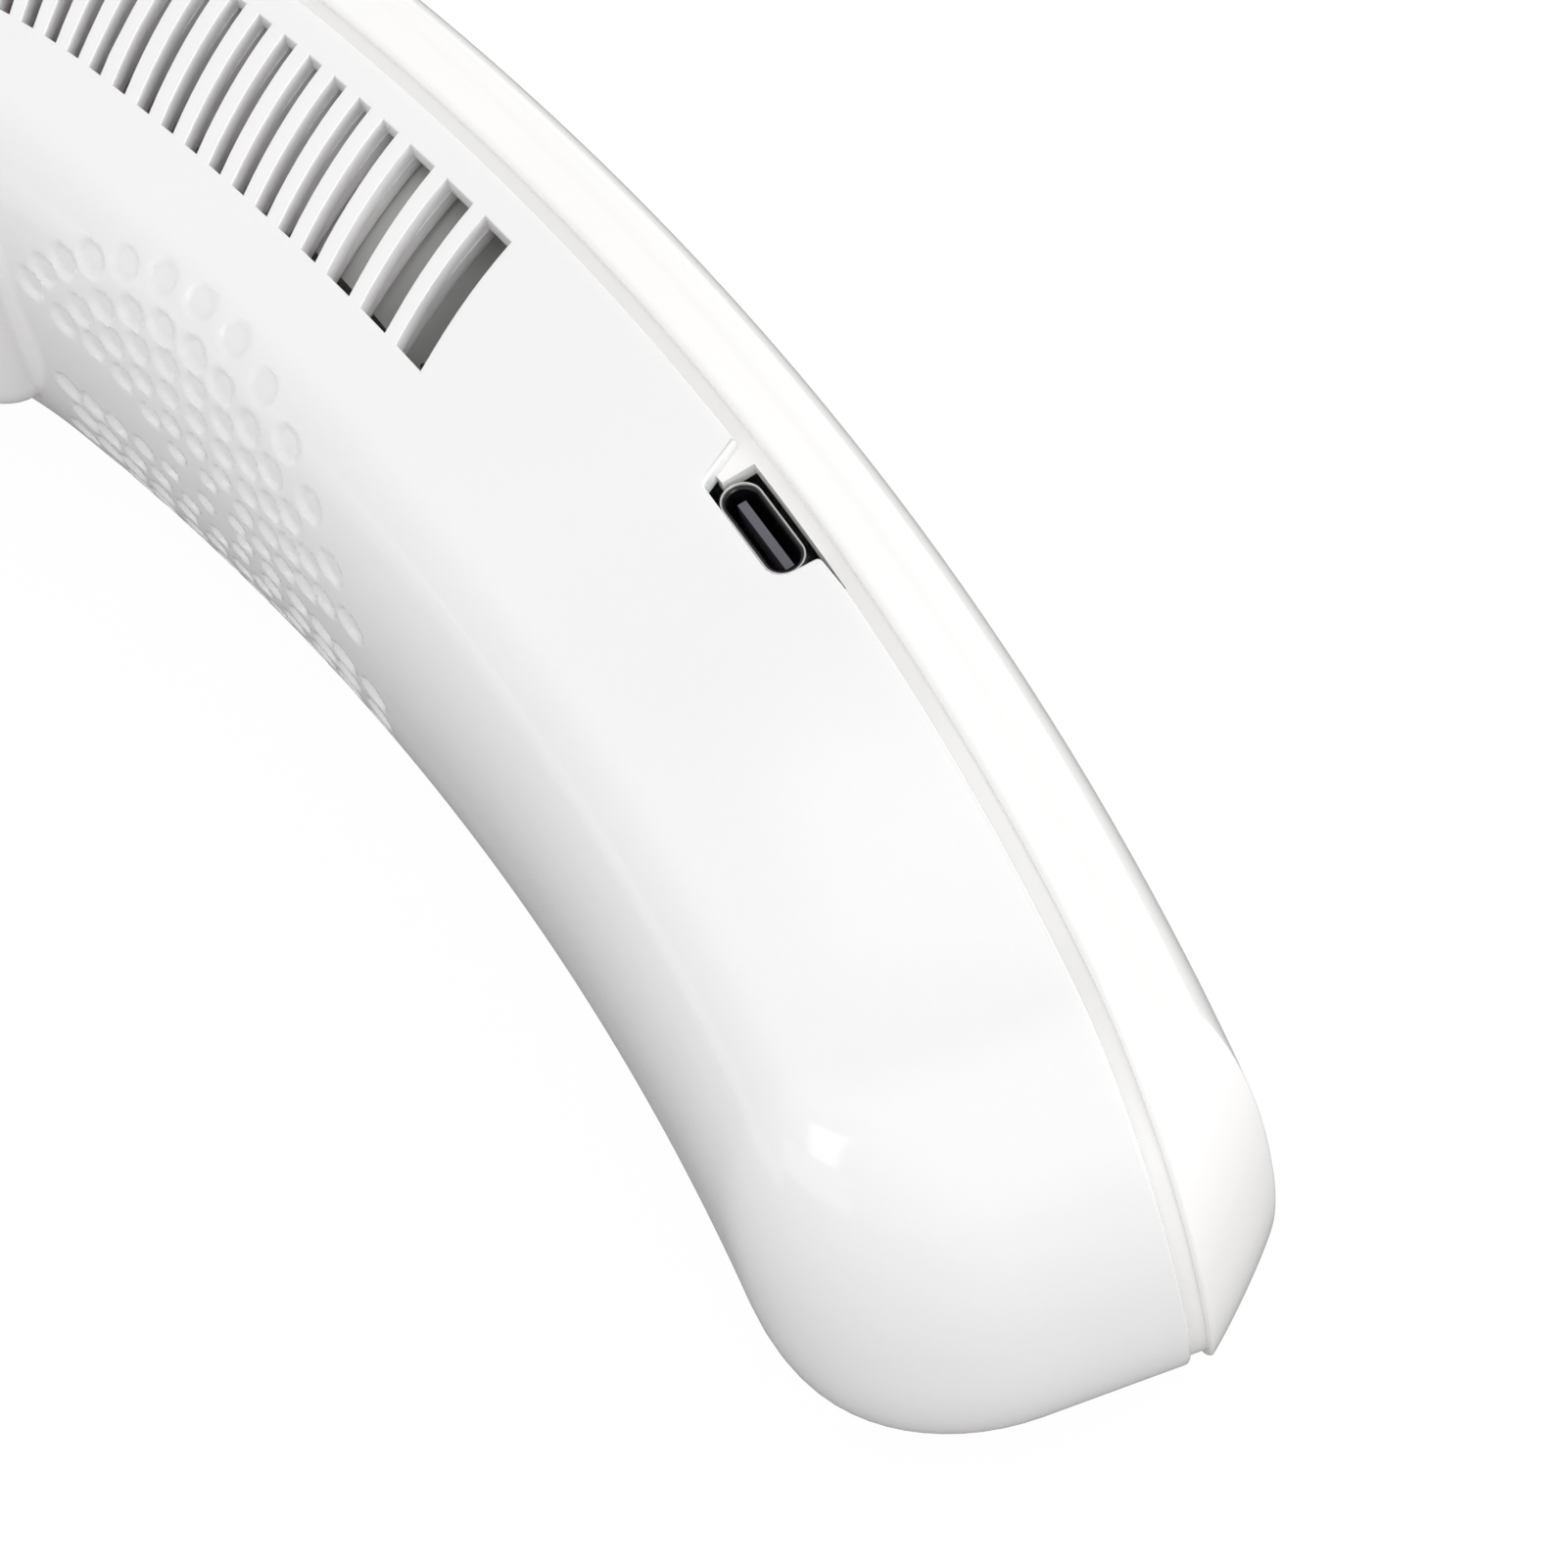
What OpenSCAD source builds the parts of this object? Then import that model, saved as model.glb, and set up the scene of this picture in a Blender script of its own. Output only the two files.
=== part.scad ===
// Electric neck fan: a U-shaped collar that lies on its lower face.
// +Z is up through the face with the charging port, the nape is at +Y, the tips point to -Y.
// A station is a distance along the seam line from the tip; an offset is measured outward
// from the seam line, so the neck side has negative offsets.

/* [Collar] */
// Radius of the seam line along the front of each arm
front_radius = 273; // [240:1:320]
// Radius of the seam line around the nape
nape_radius = 80; // [74:1:90]
// Length of the front arc, from the tip to the nape arc
front_length = 128; // [120:1:136]
// Angle by which the tips turn in towards each other
toe_in = 9; // [6:0.5:12]
// Height between the two flat faces
height = 41; // [38:0.5:46]

/* [Body shell] */
// Depth of the body shell from the seam line to the neck side
body_depth = 27.4; // [25:0.1:30]
// Depth of the rounded shoulder on the neck side
shoulder_depth = 8; // [6:0.5:10]
// Length of the rounded end at the tip
end_depth = 15; // [12:0.5:16]
// Corner radius of the tip seen from above
tip_corner = 16.5; // [16.5:0.1:18]
// Roundness of the neck side, 2 is an ellipse
section_power = 2.28; // [2:0.02:3]
// Wall thickness of the shells
wall = 1.6; // [1.2:0.1:2]

/* [Outer cover] */
// Width of the reveal groove between the body and the cover
groove_width = 1.3; // [0.8:0.1:2]
// Offset of the crease on the cover
crease_offset = 4.2; // [3.6:0.1:5]
// Drop from the flat face to the crease
crease_drop = 0.9; // [0.5:0.1:1.5]
// Largest offset of the cover
cover_offset = 9.6; // [9:0.1:11]
// Corner radius of the cover at the tip
cover_corner = 8.5; // [6:0.5:9]
// Roundness of the cover's corner, 2 is an ellipse and 1 is a straight chamfer
cover_power = 1.05; // [1.05:0.05:2]
// Thickness of the lip that closes the groove
lip_thick = 1.2; // [1:0.1:1.5]
// Reach of the lip behind the body wall
lip_reach = 2.5; // [2:0.1:3]

/* [Air slots] */
// Number of slots in each face of one arm
slot_count = 30; // [24:1:32]
// Station of the inner end of the first slot
slot_start = 87.1; // [86:0.1:90]
// Width of a narrow slot
slot_gap = 1.4; // [1.2:0.1:1.5]
// Width of a rib between slots
slot_rib = 1.48; // [1.3:0.02:1.7]
// Widths of the first slots, from the tip
wide_gaps = [3.25, 3.2, 2.9, 1.75]; // [1:0.05:4]
// Offset of the inner ends of the slots
slot_inner = -14.3; // [-15:0.1:-13]
// Offset of the outer ends of the slots
slot_outer = -2.8; // [-3.5:0.1:-2.6]
// Lead of the outer ends along the arm
slot_lead = 4.9; // [3:0.1:6]
// Bow of a rib at half its length
slot_bow = 0.45; // [0.1:0.05:0.8]

/* [Charging port] */
// Station of the middle of the port
port_station = 60; // [56:0.1:62]
// Offset of the middle of the port
port_offset = -2.05; // [-2.1:0.05:-1.9]
// Outer width of the receptacle shell
port_width = 8.94; // [8.9:0.01:9]
// Outer height of the receptacle shell
port_thick = 3.26; // [3.2:0.01:3.3]
// Length of the receptacle shell
port_length = 7.35; // [7:0.05:8]
// Wall of the receptacle shell
port_wall = 0.3; // [0.2:0.05:0.4]
// Thickness of the tongue
tongue_thick = 0.7; // [0.6:0.05:0.8]
// Depth of the receptacle mouth below the face
port_recess = 1.3; // [1:0.1:2]
// Length of the opening in the body shell
port_opening = 10.8; // [10:0.1:12]
// Gap between the receptacle and the side of its opening
port_gap = 0.5; // [0.3:0.1:0.8]

/* [Fan] */
// Station of the fan axis
fan_station = 104; // [102:0.5:106]
// Clearance between the scroll wall and the inner faces of the cover
fan_margin = 0.6; // [0.5:0.1:2]
// Length of the impeller blades
blade_length = 12; // [10:0.5:12.5]
// Number of impeller blades
blade_count = 23; // [15:2:29]
// Thickness of an impeller blade
blade_thick = 0.8; // [0.6:0.1:1]
// Radius of the rotor can
rotor_radius = 9; // [8:0.1:9.4]
// Thickness of the rotor can and hub walls
rotor_wall = 0.8; // [0.6:0.1:1]
// Radius of the shaft
shaft_radius = 1; // [0.8:0.05:1.2]
// Radial clearance of the shaft in its bearing
shaft_clearance = 0.03; // [0.02:0.01:0.08]
// Outer radius of the bearing
bearing_radius = 2; // [1.8:0.1:2.2]
// Radial gap between the impeller and the scroll wall
scroll_gap = 1.1; // [0.8:0.1:1.2]
// Thickness of the scroll wall
scroll_wall = 1.1; // [1:0.1:1.2]
// Step from the impeller's edge in to the edge of the intake grille
grille_step = 1.2; // [0.8:0.1:2]
// Radius of a hole in the intake grille
grille_hole = 1.1; // [0.8:0.1:1.3]

/* [Batteries] */
// Length of a battery along the arm
battery_length = 52; // [45:1:54]
// Width of a battery between the two faces
battery_width = 29; // [26:0.5:30]
// Thickness of a battery
battery_thick = 11; // [8:0.5:11.5]
// Station of the middle of a battery
battery_station = 44; // [43:0.5:46]

/* [Main board] */
// Length of the main board
board_length = 30; // [28:0.5:32]
// Thickness of the main board
board_thick = 1; // [0.8:0.1:1.2]
// Height of the lower edge of the main board
board_bottom = 9; // [8:0.5:10]

/* [Power button] */
// Height of the button axis above the lower face
button_height = 16.5; // [15:0.5:18]
// Radius of the button cap
button_radius = 4.2; // [3.8:0.1:4.6]
// Travel of the button
button_travel = 0.5; // [0.3:0.05:0.6]
// How far the cap stands out of the cover
button_proud = 0.8; // [0.6:0.1:0.9]

/* [Skin pads] */
// Station where a pad bezel begins
bezel_start = 132.5; // [132:0.1:136]
// Station where a pad bezel ends
bezel_end = 174; // [168:0.5:178]
// How far the bezel stands out towards the neck
bezel_raise = 3.4; // [2.5:0.1:4]
// Height of the silicone pad
pad_height = 15; // [12:0.5:17]
// How far the pad stands out of its bezel
pad_proud = 0.6; // [0.3:0.1:1]

/* [Nape] */
// Station where each arm ends and the nape piece begins
nape_start = 190; // [186:0.5:194]
// Gap between an arm and the nape piece
nape_joint = 0.3; // [0.2:0.05:0.5]

/* [Hidden] */

arc_fn = 360;
round_fn = 48;
small_fn = 24;
ball_fn = 20;
curve_fn = 90;
over = 1;
fit_gap = 0.15;
seat_gap = 0.1;

// Levels and stations of the lofted skins
level_count = 12;
corner_steps = 5;
station_step = 10;
first_station = 20;

// Colours as the real finishes look
shell_white = [0.95, 0.95, 0.95];
cover_white = [0.98, 0.98, 0.97];
pad_grey = [0.8, 0.8, 0.8];

// Centres and angles of the two arcs of the right arm
mid_height = height / 2;
junction_angle = front_length / front_radius * 180 / PI - toe_in;
corner_dual = cover_power / (cover_power - 1);
corner_reach = pow(pow((cover_offset - groove_width) * sin(toe_in), corner_dual)
    + pow(cover_corner * cos(toe_in), corner_dual), 1 / corner_dual);
back_reach = nape_radius + cover_offset;
tip_reach = (front_radius - nape_radius) * sin(junction_angle)
    + (front_radius + groove_width) * sin(toe_in) - cover_corner * cos(toe_in) + corner_reach;
nape_centre = [0, (tip_reach - back_reach) / 2];
front_centre = nape_centre
    - (front_radius - nape_radius) * [cos(junction_angle), sin(junction_angle)];

// Angle, centre and radius of the seam line at a station, and a point beside it
function seam_angle(s) = s < front_length
    ? s / front_radius * 180 / PI - toe_in
    : junction_angle + (s - front_length) / nape_radius * 180 / PI;
function arc_centre(s) = s < front_length ? front_centre : nape_centre;
function arc_radius(s) = s < front_length ? front_radius : nape_radius;
function place(s, o) = arc_centre(s)
    + (arc_radius(s) + o) * [cos(seam_angle(s)), sin(seam_angle(s))];

// Shape of the rounded sides, from the upper face at 0 degrees to the lower face at 180
function side_rise(t) = sign(cos(t)) * pow(abs(cos(t)), 2 / section_power);
function side_swell(t) = pow(abs(sin(t)), 2 / section_power);
function swell_at(z, inset) = pow(max(0, 1 - pow(abs(z - mid_height) / (mid_height - inset),
    section_power)), 1 / section_power);
function body_side(t, inset) = [
    (shoulder_depth - inset) * (1 - side_swell(t)) - (body_depth - inset),
    mid_height + (mid_height - inset) * side_rise(t)];
function cover_side(t, inset) = [
    crease_offset - inset + (cover_offset - crease_offset) * side_swell(t),
    mid_height + (mid_height - crease_drop - inset) * side_rise(t)];
function end_station(z, inset) = inset + (end_depth - inset) * (1 - swell_at(z, inset));
function neck_wall(v) = wall - body_depth + (shoulder_depth - wall)
    * (1 - swell_at(mid_height + v, wall));
function inner_cover(v) = crease_offset - wall + (cover_offset - crease_offset)
    * pow(1 - pow(abs(v) / (mid_height - crease_drop - wall), section_power), 1 / section_power);

rim_width = 0.35;
corner_floor = 1;
rim_offset = groove_width + rim_width;
lip_inset = wall + fit_gap;
lip_offset = groove_width + wall;
station_total = round((nape_start - first_station) / station_step);

strap_station = first_station + station_step / 2;

function station(i, last) = first_station + (last - first_station) * i / station_total;
function level(j) = 180 * j / level_count;

// Places children at a station, x outward and y along the arm towards the nape
module at_station(s, o = 0, z = 0) {
    translate([place(s, o).x, place(s, o).y, z]) rotate([0, 0, seam_angle(s)]) children();
}

// Sweeps a profile, x outward from the seam line and y up, about one arc
module arc_sweep(centre, radius, from, to) {
    translate([centre.x, centre.y, 0]) rotate([0, 0, from])
        rotate_extrude(angle = to - from, $fn = arc_fn) translate([radius, 0]) children();
}
module front_sweep(from, to) {
    arc_sweep(front_centre, front_radius, seam_angle(from), seam_angle(to)) children();
}
module nape_sweep(from, to) {
    arc_sweep(nape_centre, nape_radius, seam_angle(from), seam_angle(to)) children();
}
module nape_bridge(from) {
    arc_sweep(nape_centre, nape_radius, seam_angle(from), 180 - seam_angle(from)) children();
}

// Skin through rings of points, the first ring on top and each clockwise from above
module loft(rings) {
    n = len(rings[0]);
    m = len(rings);
    polyhedron(points = [for (ring = rings) for (p = ring) p],
        faces = concat(
            [[for (k = [0:n - 1]) k]],
            [[for (k = [n - 1:-1:0]) (m - 1) * n + k]],
            [for (j = [0:m - 2]) for (k = [0:n - 1])
                [j * n + k, (j + 1) * n + k, (j + 1) * n + (k + 1) % n, j * n + (k + 1) % n]]));
}
function raised(points, z) = [for (p = points) [p.x, p.y, z]];

// Outline of the body at one level, inset from its skin and cut at an outer offset
function body_ring(t, inset, outer, last) =
    let (side = body_side(t, inset), z = side.y, end = end_station(z, inset),
        fall = 1 - side_swell(t), middle = tip_corner - body_depth,
        across = tip_corner - inset - (shoulder_depth - inset) * fall,
        along = tip_corner - end)
    raised(concat(
        [for (i = [station_total:-1:0]) place(station(i, last), outer)],
        [place(end, outer)],
        [for (k = [0:corner_steps]) let (f = 90 * k / corner_steps)
            place(tip_corner - along * cos(f), middle - across * sin(f))],
        [for (i = [0:station_total]) place(station(i, last), side.x)]), z);
module body_form(inset, outer, last) {
    loft([for (j = [0:level_count]) body_ring(level(j), inset, outer, last)]);
}

// Outline of the cover at one level
function cover_ring(side, swell, inset, inner, last) =
    let (end = end_station(side.y, inset), across = side.x - groove_width,
        along = corner_floor + (cover_corner - corner_floor) * swell)
    raised(concat(
        [for (i = [station_total:-1:0]) place(station(i, last), side.x)],
        [for (k = [0:corner_steps]) let (f = 90 * k / corner_steps)
            place(end + along - along * pow(sin(f), 2 / cover_power),
                groove_width + across * pow(cos(f), 2 / cover_power))],
        inner < groove_width ? [place(end, inner)] : [],
        [for (i = [0:station_total]) place(station(i, last), inner)]), side.y);
module cover_form() {
    loft(concat([cover_ring([rim_offset, height], 0, 0, groove_width, nape_start)],
        [for (j = [0:level_count])
            cover_ring(cover_side(level(j), 0), side_swell(level(j)), 0, groove_width, nape_start)],
        [cover_ring([rim_offset, 0], 0, 0, groove_width, nape_start)]));
}
module cover_hollow() {
    loft([for (j = [0:level_count]) cover_ring(cover_side(level(j), wall), side_swell(level(j)),
        wall, groove_width - over, nape_start + over)]);
}

// Short ring of the lip around the tip, between the two long strips
function strap_ring(t, inset, inner, outer, last) =
    let (z = body_side(t, inset).y, end = end_station(z, inset))
    raised([place(last, outer), place(end_depth + over, outer), place(end, outer),
        place(end, inner), place(end_depth + over, inner), place(last, inner)], z);
module strap_form(inset, inner, outer, last) {
    loft([for (j = [0:level_count]) strap_ring(level(j), inset, inner, outer, last)]);
}

// Profiles for the nape pieces, which are swept about one arc
profile_steps = 24;
function profile_angle(j) = 180 * j / profile_steps;
module body_section(inset, outer) {
    polygon(concat([[outer, height - inset]],
        [for (j = [0:profile_steps]) body_side(profile_angle(j), inset)], [[outer, inset]]));
}
module cover_section() {
    polygon(concat([[groove_width, height], [rim_offset, height]],
        [for (j = [0:profile_steps]) cover_side(profile_angle(j), 0)],
        [[rim_offset, 0], [groove_width, 0]]));
}
module cover_hollow_section() {
    polygon(concat([[groove_width - over, mid_height + (mid_height - crease_drop - wall)]],
        [for (j = [0:profile_steps]) cover_side(profile_angle(j), wall)],
        [[groove_width - over, crease_drop + wall]]));
}

// Air slots: each is two hulls between three upright bars, so its ribs are bowed
bar_depth = 0.1;
slot_depth = wall + 2 * over;
function slot_width(k) = k < len(wide_gaps) ? wide_gaps[k] : slot_gap;
function slot_station(k) = k == 0 ? slot_start
    : slot_station(k - 1) + slot_width(k - 1) + slot_rib;
module slot_bar(k, share) {
    o = slot_inner + (slot_outer - slot_inner) * share;
    s = slot_station(k) + slot_lead * share + 4 * slot_bow * share * (1 - share);
    spread = 1 + o / arc_radius(s);
    at_station(s, o) translate([-bar_depth / 2, 0, 0])
        cube([bar_depth, slot_width(k) * spread, slot_depth]);
}
module slot_row() {
    for (k = [0:slot_count - 1]) {
        hull() {
            slot_bar(k, 0);
            slot_bar(k, 0.5);
        }
        hull() {
            slot_bar(k, 0.5);
            slot_bar(k, 1);
        }
    }
}

// Port, board and button places, in a frame at the middle of the board
board_lead = 2;
board_edge_gap = 0.8;
board_station = port_station + board_lead;
board_face = port_offset - port_thick / 2;
board_top = height - wall - board_edge_gap;
port_y = port_station - board_station;
port_mouth = height - port_recess;
module board_frame() {
    at_station(board_station) children();
}

// Fan levels, measured outward along the fan axis
scroll_front = 4.1;
running_gap = 0.8;
plate_thick = 1.4;
ear_radius = 2.3;
ear_thick = 1.6;
ear_count = 4;
scroll_outer = mid_height - crease_drop - wall - fan_margin;
scroll_inner = scroll_outer - scroll_wall;
impeller_radius = scroll_inner - scroll_gap;
ear_circle = scroll_outer + ear_radius + seat_gap;
impeller_front = scroll_front - scroll_wall - running_gap;
disc_top = impeller_front - blade_length;
disc_bottom = disc_top - rotor_wall;
plate_top = disc_bottom - running_gap;
plate_bottom = plate_top - plate_thick;
screw_radius = 0.8;
screw_gap = 0.1;
screw_length = 8;
head_radius = 1.7;
head_height = 1.1;
module fan_frame() {
    at_station(fan_station, 0, mid_height) rotate([0, 90, 0]) children();
}
module at_ears() {
    for (i = [0:ear_count - 1]) rotate([0, 0, (i + 0.5) * 360 / ear_count])
        translate([ear_circle, 0, 0]) children();
}

// Inner fixings of a body shell
rib_thick = 2;
seat_spacing = 28;
seat_margin = 3.5;
seat_height = battery_width - 2 * seat_margin;
battery_gap = 1.6;
battery_back = neck_wall(battery_width / 2) + battery_gap;
board_rib_height = 15;
board_rib_depth = 4;
board_screw_z = 13;
board_screw_y = 12;
boss_length = plate_bottom - neck_wall(ear_circle * sin(180 / ear_count)) + wall / 2;
module fan_bosses() {
    fan_frame() at_ears() translate([0, 0, plate_bottom - boss_length])
        cylinder(r = ear_radius, h = boss_length, $fn = small_fn);
}
module battery_seats() {
    at_station(battery_station) for (side = [-1, 1])
        translate([-body_depth + wall / 2, side * seat_spacing / 2 - rib_thick / 2,
            mid_height - seat_height / 2])
            cube([body_depth - wall / 2 + battery_back - seat_gap, rib_thick, seat_height]);
}
module board_ribs() {
    board_frame() for (side = [-1, 1])
        translate([board_face - board_thick - board_rib_depth,
            side * board_screw_y - rib_thick / 2, wall / 2])
            cube([board_rib_depth, rib_thick, board_rib_height]);
}

// Bezel of a skin pad: hulls between rounded upright bars along the neck side
bezel_radius = 5;
bezel_steps = 5;
bezel_border = 4.5;
bezel_height = pad_height + 2 * bezel_border;
bezel_offset = bezel_radius - bezel_raise - body_depth;
pad_depth = 1.8;
pad_margin = 4.2;
module bezel_bar(s) {
    at_station(s, bezel_offset) for (side = [-1, 1])
        translate([0, 0, mid_height + side * (bezel_height / 2 - bezel_radius)])
            sphere(r = bezel_radius, $fn = ball_fn);
}
module bezel() {
    step = (bezel_end - bezel_start - 2 * bezel_radius) / bezel_steps;
    for (i = [0:bezel_steps - 1]) hull() {
        bezel_bar(bezel_start + bezel_radius + i * step);
        bezel_bar(bezel_start + bezel_radius + (i + 1) * step);
    }
}
module pad_block(gap, proud) {
    nape_sweep(bezel_start + pad_margin + gap, bezel_end - pad_margin - gap)
        translate([-body_depth - bezel_raise - proud, mid_height - pad_height / 2 + gap])
            square([pad_depth + proud - gap, pad_height - 2 * gap]);
}

module port_opening() {
    board_frame() translate([board_face - port_gap, port_y - port_opening / 2, height - wall - over])
        cube([over + port_gap - board_face, port_opening, wall + 2 * over]);
}

module body_shell(with_port) {
    color(shell_white) difference() {
        union() {
            difference() {
                union() {
                    body_form(0, 0, nape_start);
                    bezel();
                }
                body_form(wall, over, nape_start + over);
            }
            fan_bosses();
            battery_seats();
            if (with_port) board_ribs();
        }
        translate([0, 0, height - wall - over]) slot_row();
        translate([0, 0, -over]) slot_row();
        pad_block(0, over);
        fan_frame() at_ears() translate([0, 0, plate_bottom - screw_length])
            cylinder(r = screw_radius + screw_gap, h = screw_length + over, $fn = small_fn);
        if (with_port) {
            port_opening();
            board_frame() board_holes(screw_radius + screw_gap);
        }
    }
}
module board_holes(radius) {
    for (side = [-1, 1]) translate([board_face - board_thick - board_rib_depth - over,
        side * board_screw_y, board_screw_z]) rotate([0, 90, 0])
        cylinder(r = radius, h = board_rib_depth + board_thick + 2 * over, $fn = small_fn);
}

// Outer cover of an arm, with the lip that closes the groove and stiffening gussets
gusset_drop = 4;
gusset_thick = 1;
gusset_shares = [0.15, 0.2, 0.67, 0.77, 0.86, 0.96];
grille_gap = 0.15;
led_count = 4;
led_pitch = 3.2;
led_lead = 14.5;
led_start = board_station + led_lead;
led_radius = 0.8;
led_gap = 0.15;
button_y = 6;
button_gap = 0.15;
lip_top = height - lip_inset;
lip_bottom = lip_top - lip_thick;
lip_start = first_station + over;
lip_end = nape_start - fit_gap;
function lip_station(i) = lip_start + (lip_end - lip_start) * i / station_total;
module lip_strip() {
    linear_extrude(lip_thick) polygon(concat(
        [for (i = [station_total:-1:0]) place(lip_station(i), lip_offset)],
        [for (i = [0:station_total]) place(lip_station(i), -lip_reach)]));
}
module gusset(s) {
    hull() {
        at_station(s, fit_gap - lip_reach, lip_bottom)
            cube([lip_reach + groove_width, gusset_thick, lip_thick / 2]);
        at_station(s, groove_width - fit_gap, lip_bottom - gusset_drop)
            cube([gusset_thick, gusset_thick, gusset_drop]);
    }
}
module lip_half() {
    translate([0, 0, lip_bottom]) lip_strip();
    for (share = gusset_shares) gusset(nape_start * share);
}
module lip() {
    lip_half();
    translate([0, 0, height]) mirror([0, 0, 1]) lip_half();
    difference() {
        strap_form(lip_inset + fit_gap, fit_gap - lip_reach, lip_offset - fit_gap, strap_station);
        strap_form(lip_inset + lip_thick, -lip_reach - over, lip_offset + over,
            strap_station + over);
    }
}
module outer_cover(with_port) {
    color(cover_white) difference() {
        union() {
            difference() {
                cover_form();
                cover_hollow();
            }
            lip();
        }
        fan_frame() cylinder(r = grille_radius + grille_gap, h = cover_offset + over, $fn = round_fn);
        if (with_port) {
            board_frame() translate([board_face - over, port_y - port_opening / 2, port_mouth
                - port_length]) cube([port_thick + port_gap + over, port_opening,
                port_length + over]);
            board_frame() translate([wall, button_y, button_height]) rotate([0, 90, 0])
                cylinder(r = button_radius + button_gap, h = cover_offset, $fn = round_fn);
            for (i = [0:led_count - 1]) at_station(led_start + i * led_pitch, wall, button_height)
                rotate([0, 90, 0]) cylinder(r = led_radius + led_gap, h = cover_offset, $fn = small_fn);
        }
    }
}

// The nape piece: shell and cover, with sleeves that plug into both arms
sleeve_reach = 5;
sleeve_thick = 1.2;
sleeve_gap = 0.3;
sleeve_root = 3;
module body_hoop(inset, thick, outer) {
    difference() {
        body_section(inset, outer);
        body_section(inset + thick, outer + over);
    }
}
module nape_sleeve() {
    nape_sweep(nape_start - sleeve_reach, nape_start + nape_joint + sleeve_root)
        body_hoop(wall + sleeve_gap, sleeve_thick, -lip_reach - sleeve_gap);
    nape_sweep(nape_start + 2 * nape_joint, nape_start + sleeve_root)
        body_hoop(wall / 2, wall / 2 + sleeve_gap + sleeve_thick / 2, -lip_reach - 2 * sleeve_gap);
}
module nape_body_shell() {
    color(shell_white) {
        nape_bridge(nape_start + nape_joint) body_hoop(0, wall, 0);
        nape_sleeve();
        mirror([1, 0, 0]) nape_sleeve();
    }
}
module nape_outer_cover() {
    color(cover_white) {
        nape_bridge(nape_start + nape_joint) difference() {
            cover_section();
            cover_hollow_section();
        }
        for (z = [lip_inset, lip_bottom]) nape_bridge(nape_start + nape_joint)
            translate([-lip_reach, z]) square([lip_reach + lip_offset, lip_thick]);
    }
}

// Round intake grille in the cover, in front of the fan
grille_radius = impeller_radius - grille_step;
grille_sink = 1.4;
grille_face = cover_offset - grille_sink;
grille_thick = 1.5;
flange_width = 1.3;
flange_thick = 1;
grille_rings = 3;
grille_border = 0.5;
grille_pitch = (grille_radius - wall - grille_hole - grille_border) / grille_rings;
module intake_grille() {
    color(cover_white) fan_frame() difference() {
        union() {
            translate([0, 0, grille_face - grille_thick])
                cylinder(r = grille_radius, h = grille_thick, $fn = round_fn);
            difference() {
                translate([0, 0, scroll_front]) cylinder(r = grille_radius,
                    h = grille_face - scroll_front - grille_thick / 2, $fn = round_fn);
                translate([0, 0, scroll_front - over]) cylinder(r = grille_radius - wall,
                    h = grille_face - scroll_front + over - grille_thick / 2, $fn = round_fn);
            }
            difference() {
                translate([0, 0, scroll_front])
                    cylinder(r = grille_radius + flange_width, h = flange_thick, $fn = round_fn);
                translate([0, 0, scroll_front - over]) cylinder(r = grille_radius - wall,
                    h = flange_thick + 2 * over, $fn = round_fn);
            }
        }
        translate([0, 0, grille_face / 2]) cylinder(r = grille_hole, h = grille_face, $fn = small_fn);
        for (ring = [1:grille_rings]) for (i = [0:6 * ring - 1])
            rotate([0, 0, i * 60 / ring]) translate([ring * grille_pitch, 0, grille_face / 2])
                cylinder(r = grille_hole, h = grille_face, $fn = small_fn);
    }
}

// Soft pad that lies on the skin
module skin_pad() {
    color(pad_grey) pad_block(fit_gap, pad_proud);
}

// Scroll: wall round the impeller, open towards the nape, and the intake ring
hub_radius = rotor_radius + rotor_wall;
blade_start_share = 0.3;
blade_inner = hub_radius + blade_start_share * (impeller_radius - hub_radius);
intake_gap = 0.2;
intake_radius = blade_inner + intake_gap;
outlet_shoulder = 4.2;
outlet_half_width = impeller_radius - outlet_shoulder;
ear_neck_share = 0.7;
module ear(thick) {
    at_ears() difference() {
        union() {
            cylinder(r = ear_radius, h = thick, $fn = small_fn);
            translate([scroll_inner + scroll_wall / 2 - ear_circle, -ear_radius * ear_neck_share, 0])
                cube([ear_circle - scroll_inner - scroll_wall / 2, 2 * ear_radius * ear_neck_share,
                    thick]);
        }
        translate([0, 0, -over])
            cylinder(r = screw_radius + 2 * screw_gap, h = thick + 2 * over, $fn = small_fn);
    }
}
module fan_scroll() {
    color(shell_white) fan_frame() {
        difference() {
            translate([0, 0, plate_top])
                cylinder(r = scroll_outer, h = scroll_front - plate_top, $fn = arc_fn);
            translate([0, 0, plate_top - over]) cylinder(r = scroll_inner,
                h = scroll_front - scroll_wall - plate_top + over, $fn = arc_fn);
            translate([0, 0, plate_top])
                cylinder(r = intake_radius, h = scroll_front - plate_top + over, $fn = arc_fn);
            translate([-outlet_half_width, 0, plate_top + ear_thick]) cube([2 * outlet_half_width,
                scroll_outer + over, scroll_front - scroll_wall - plate_top - ear_thick]);
        }
        translate([0, 0, plate_top]) ear(ear_thick);
    }
}

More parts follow.
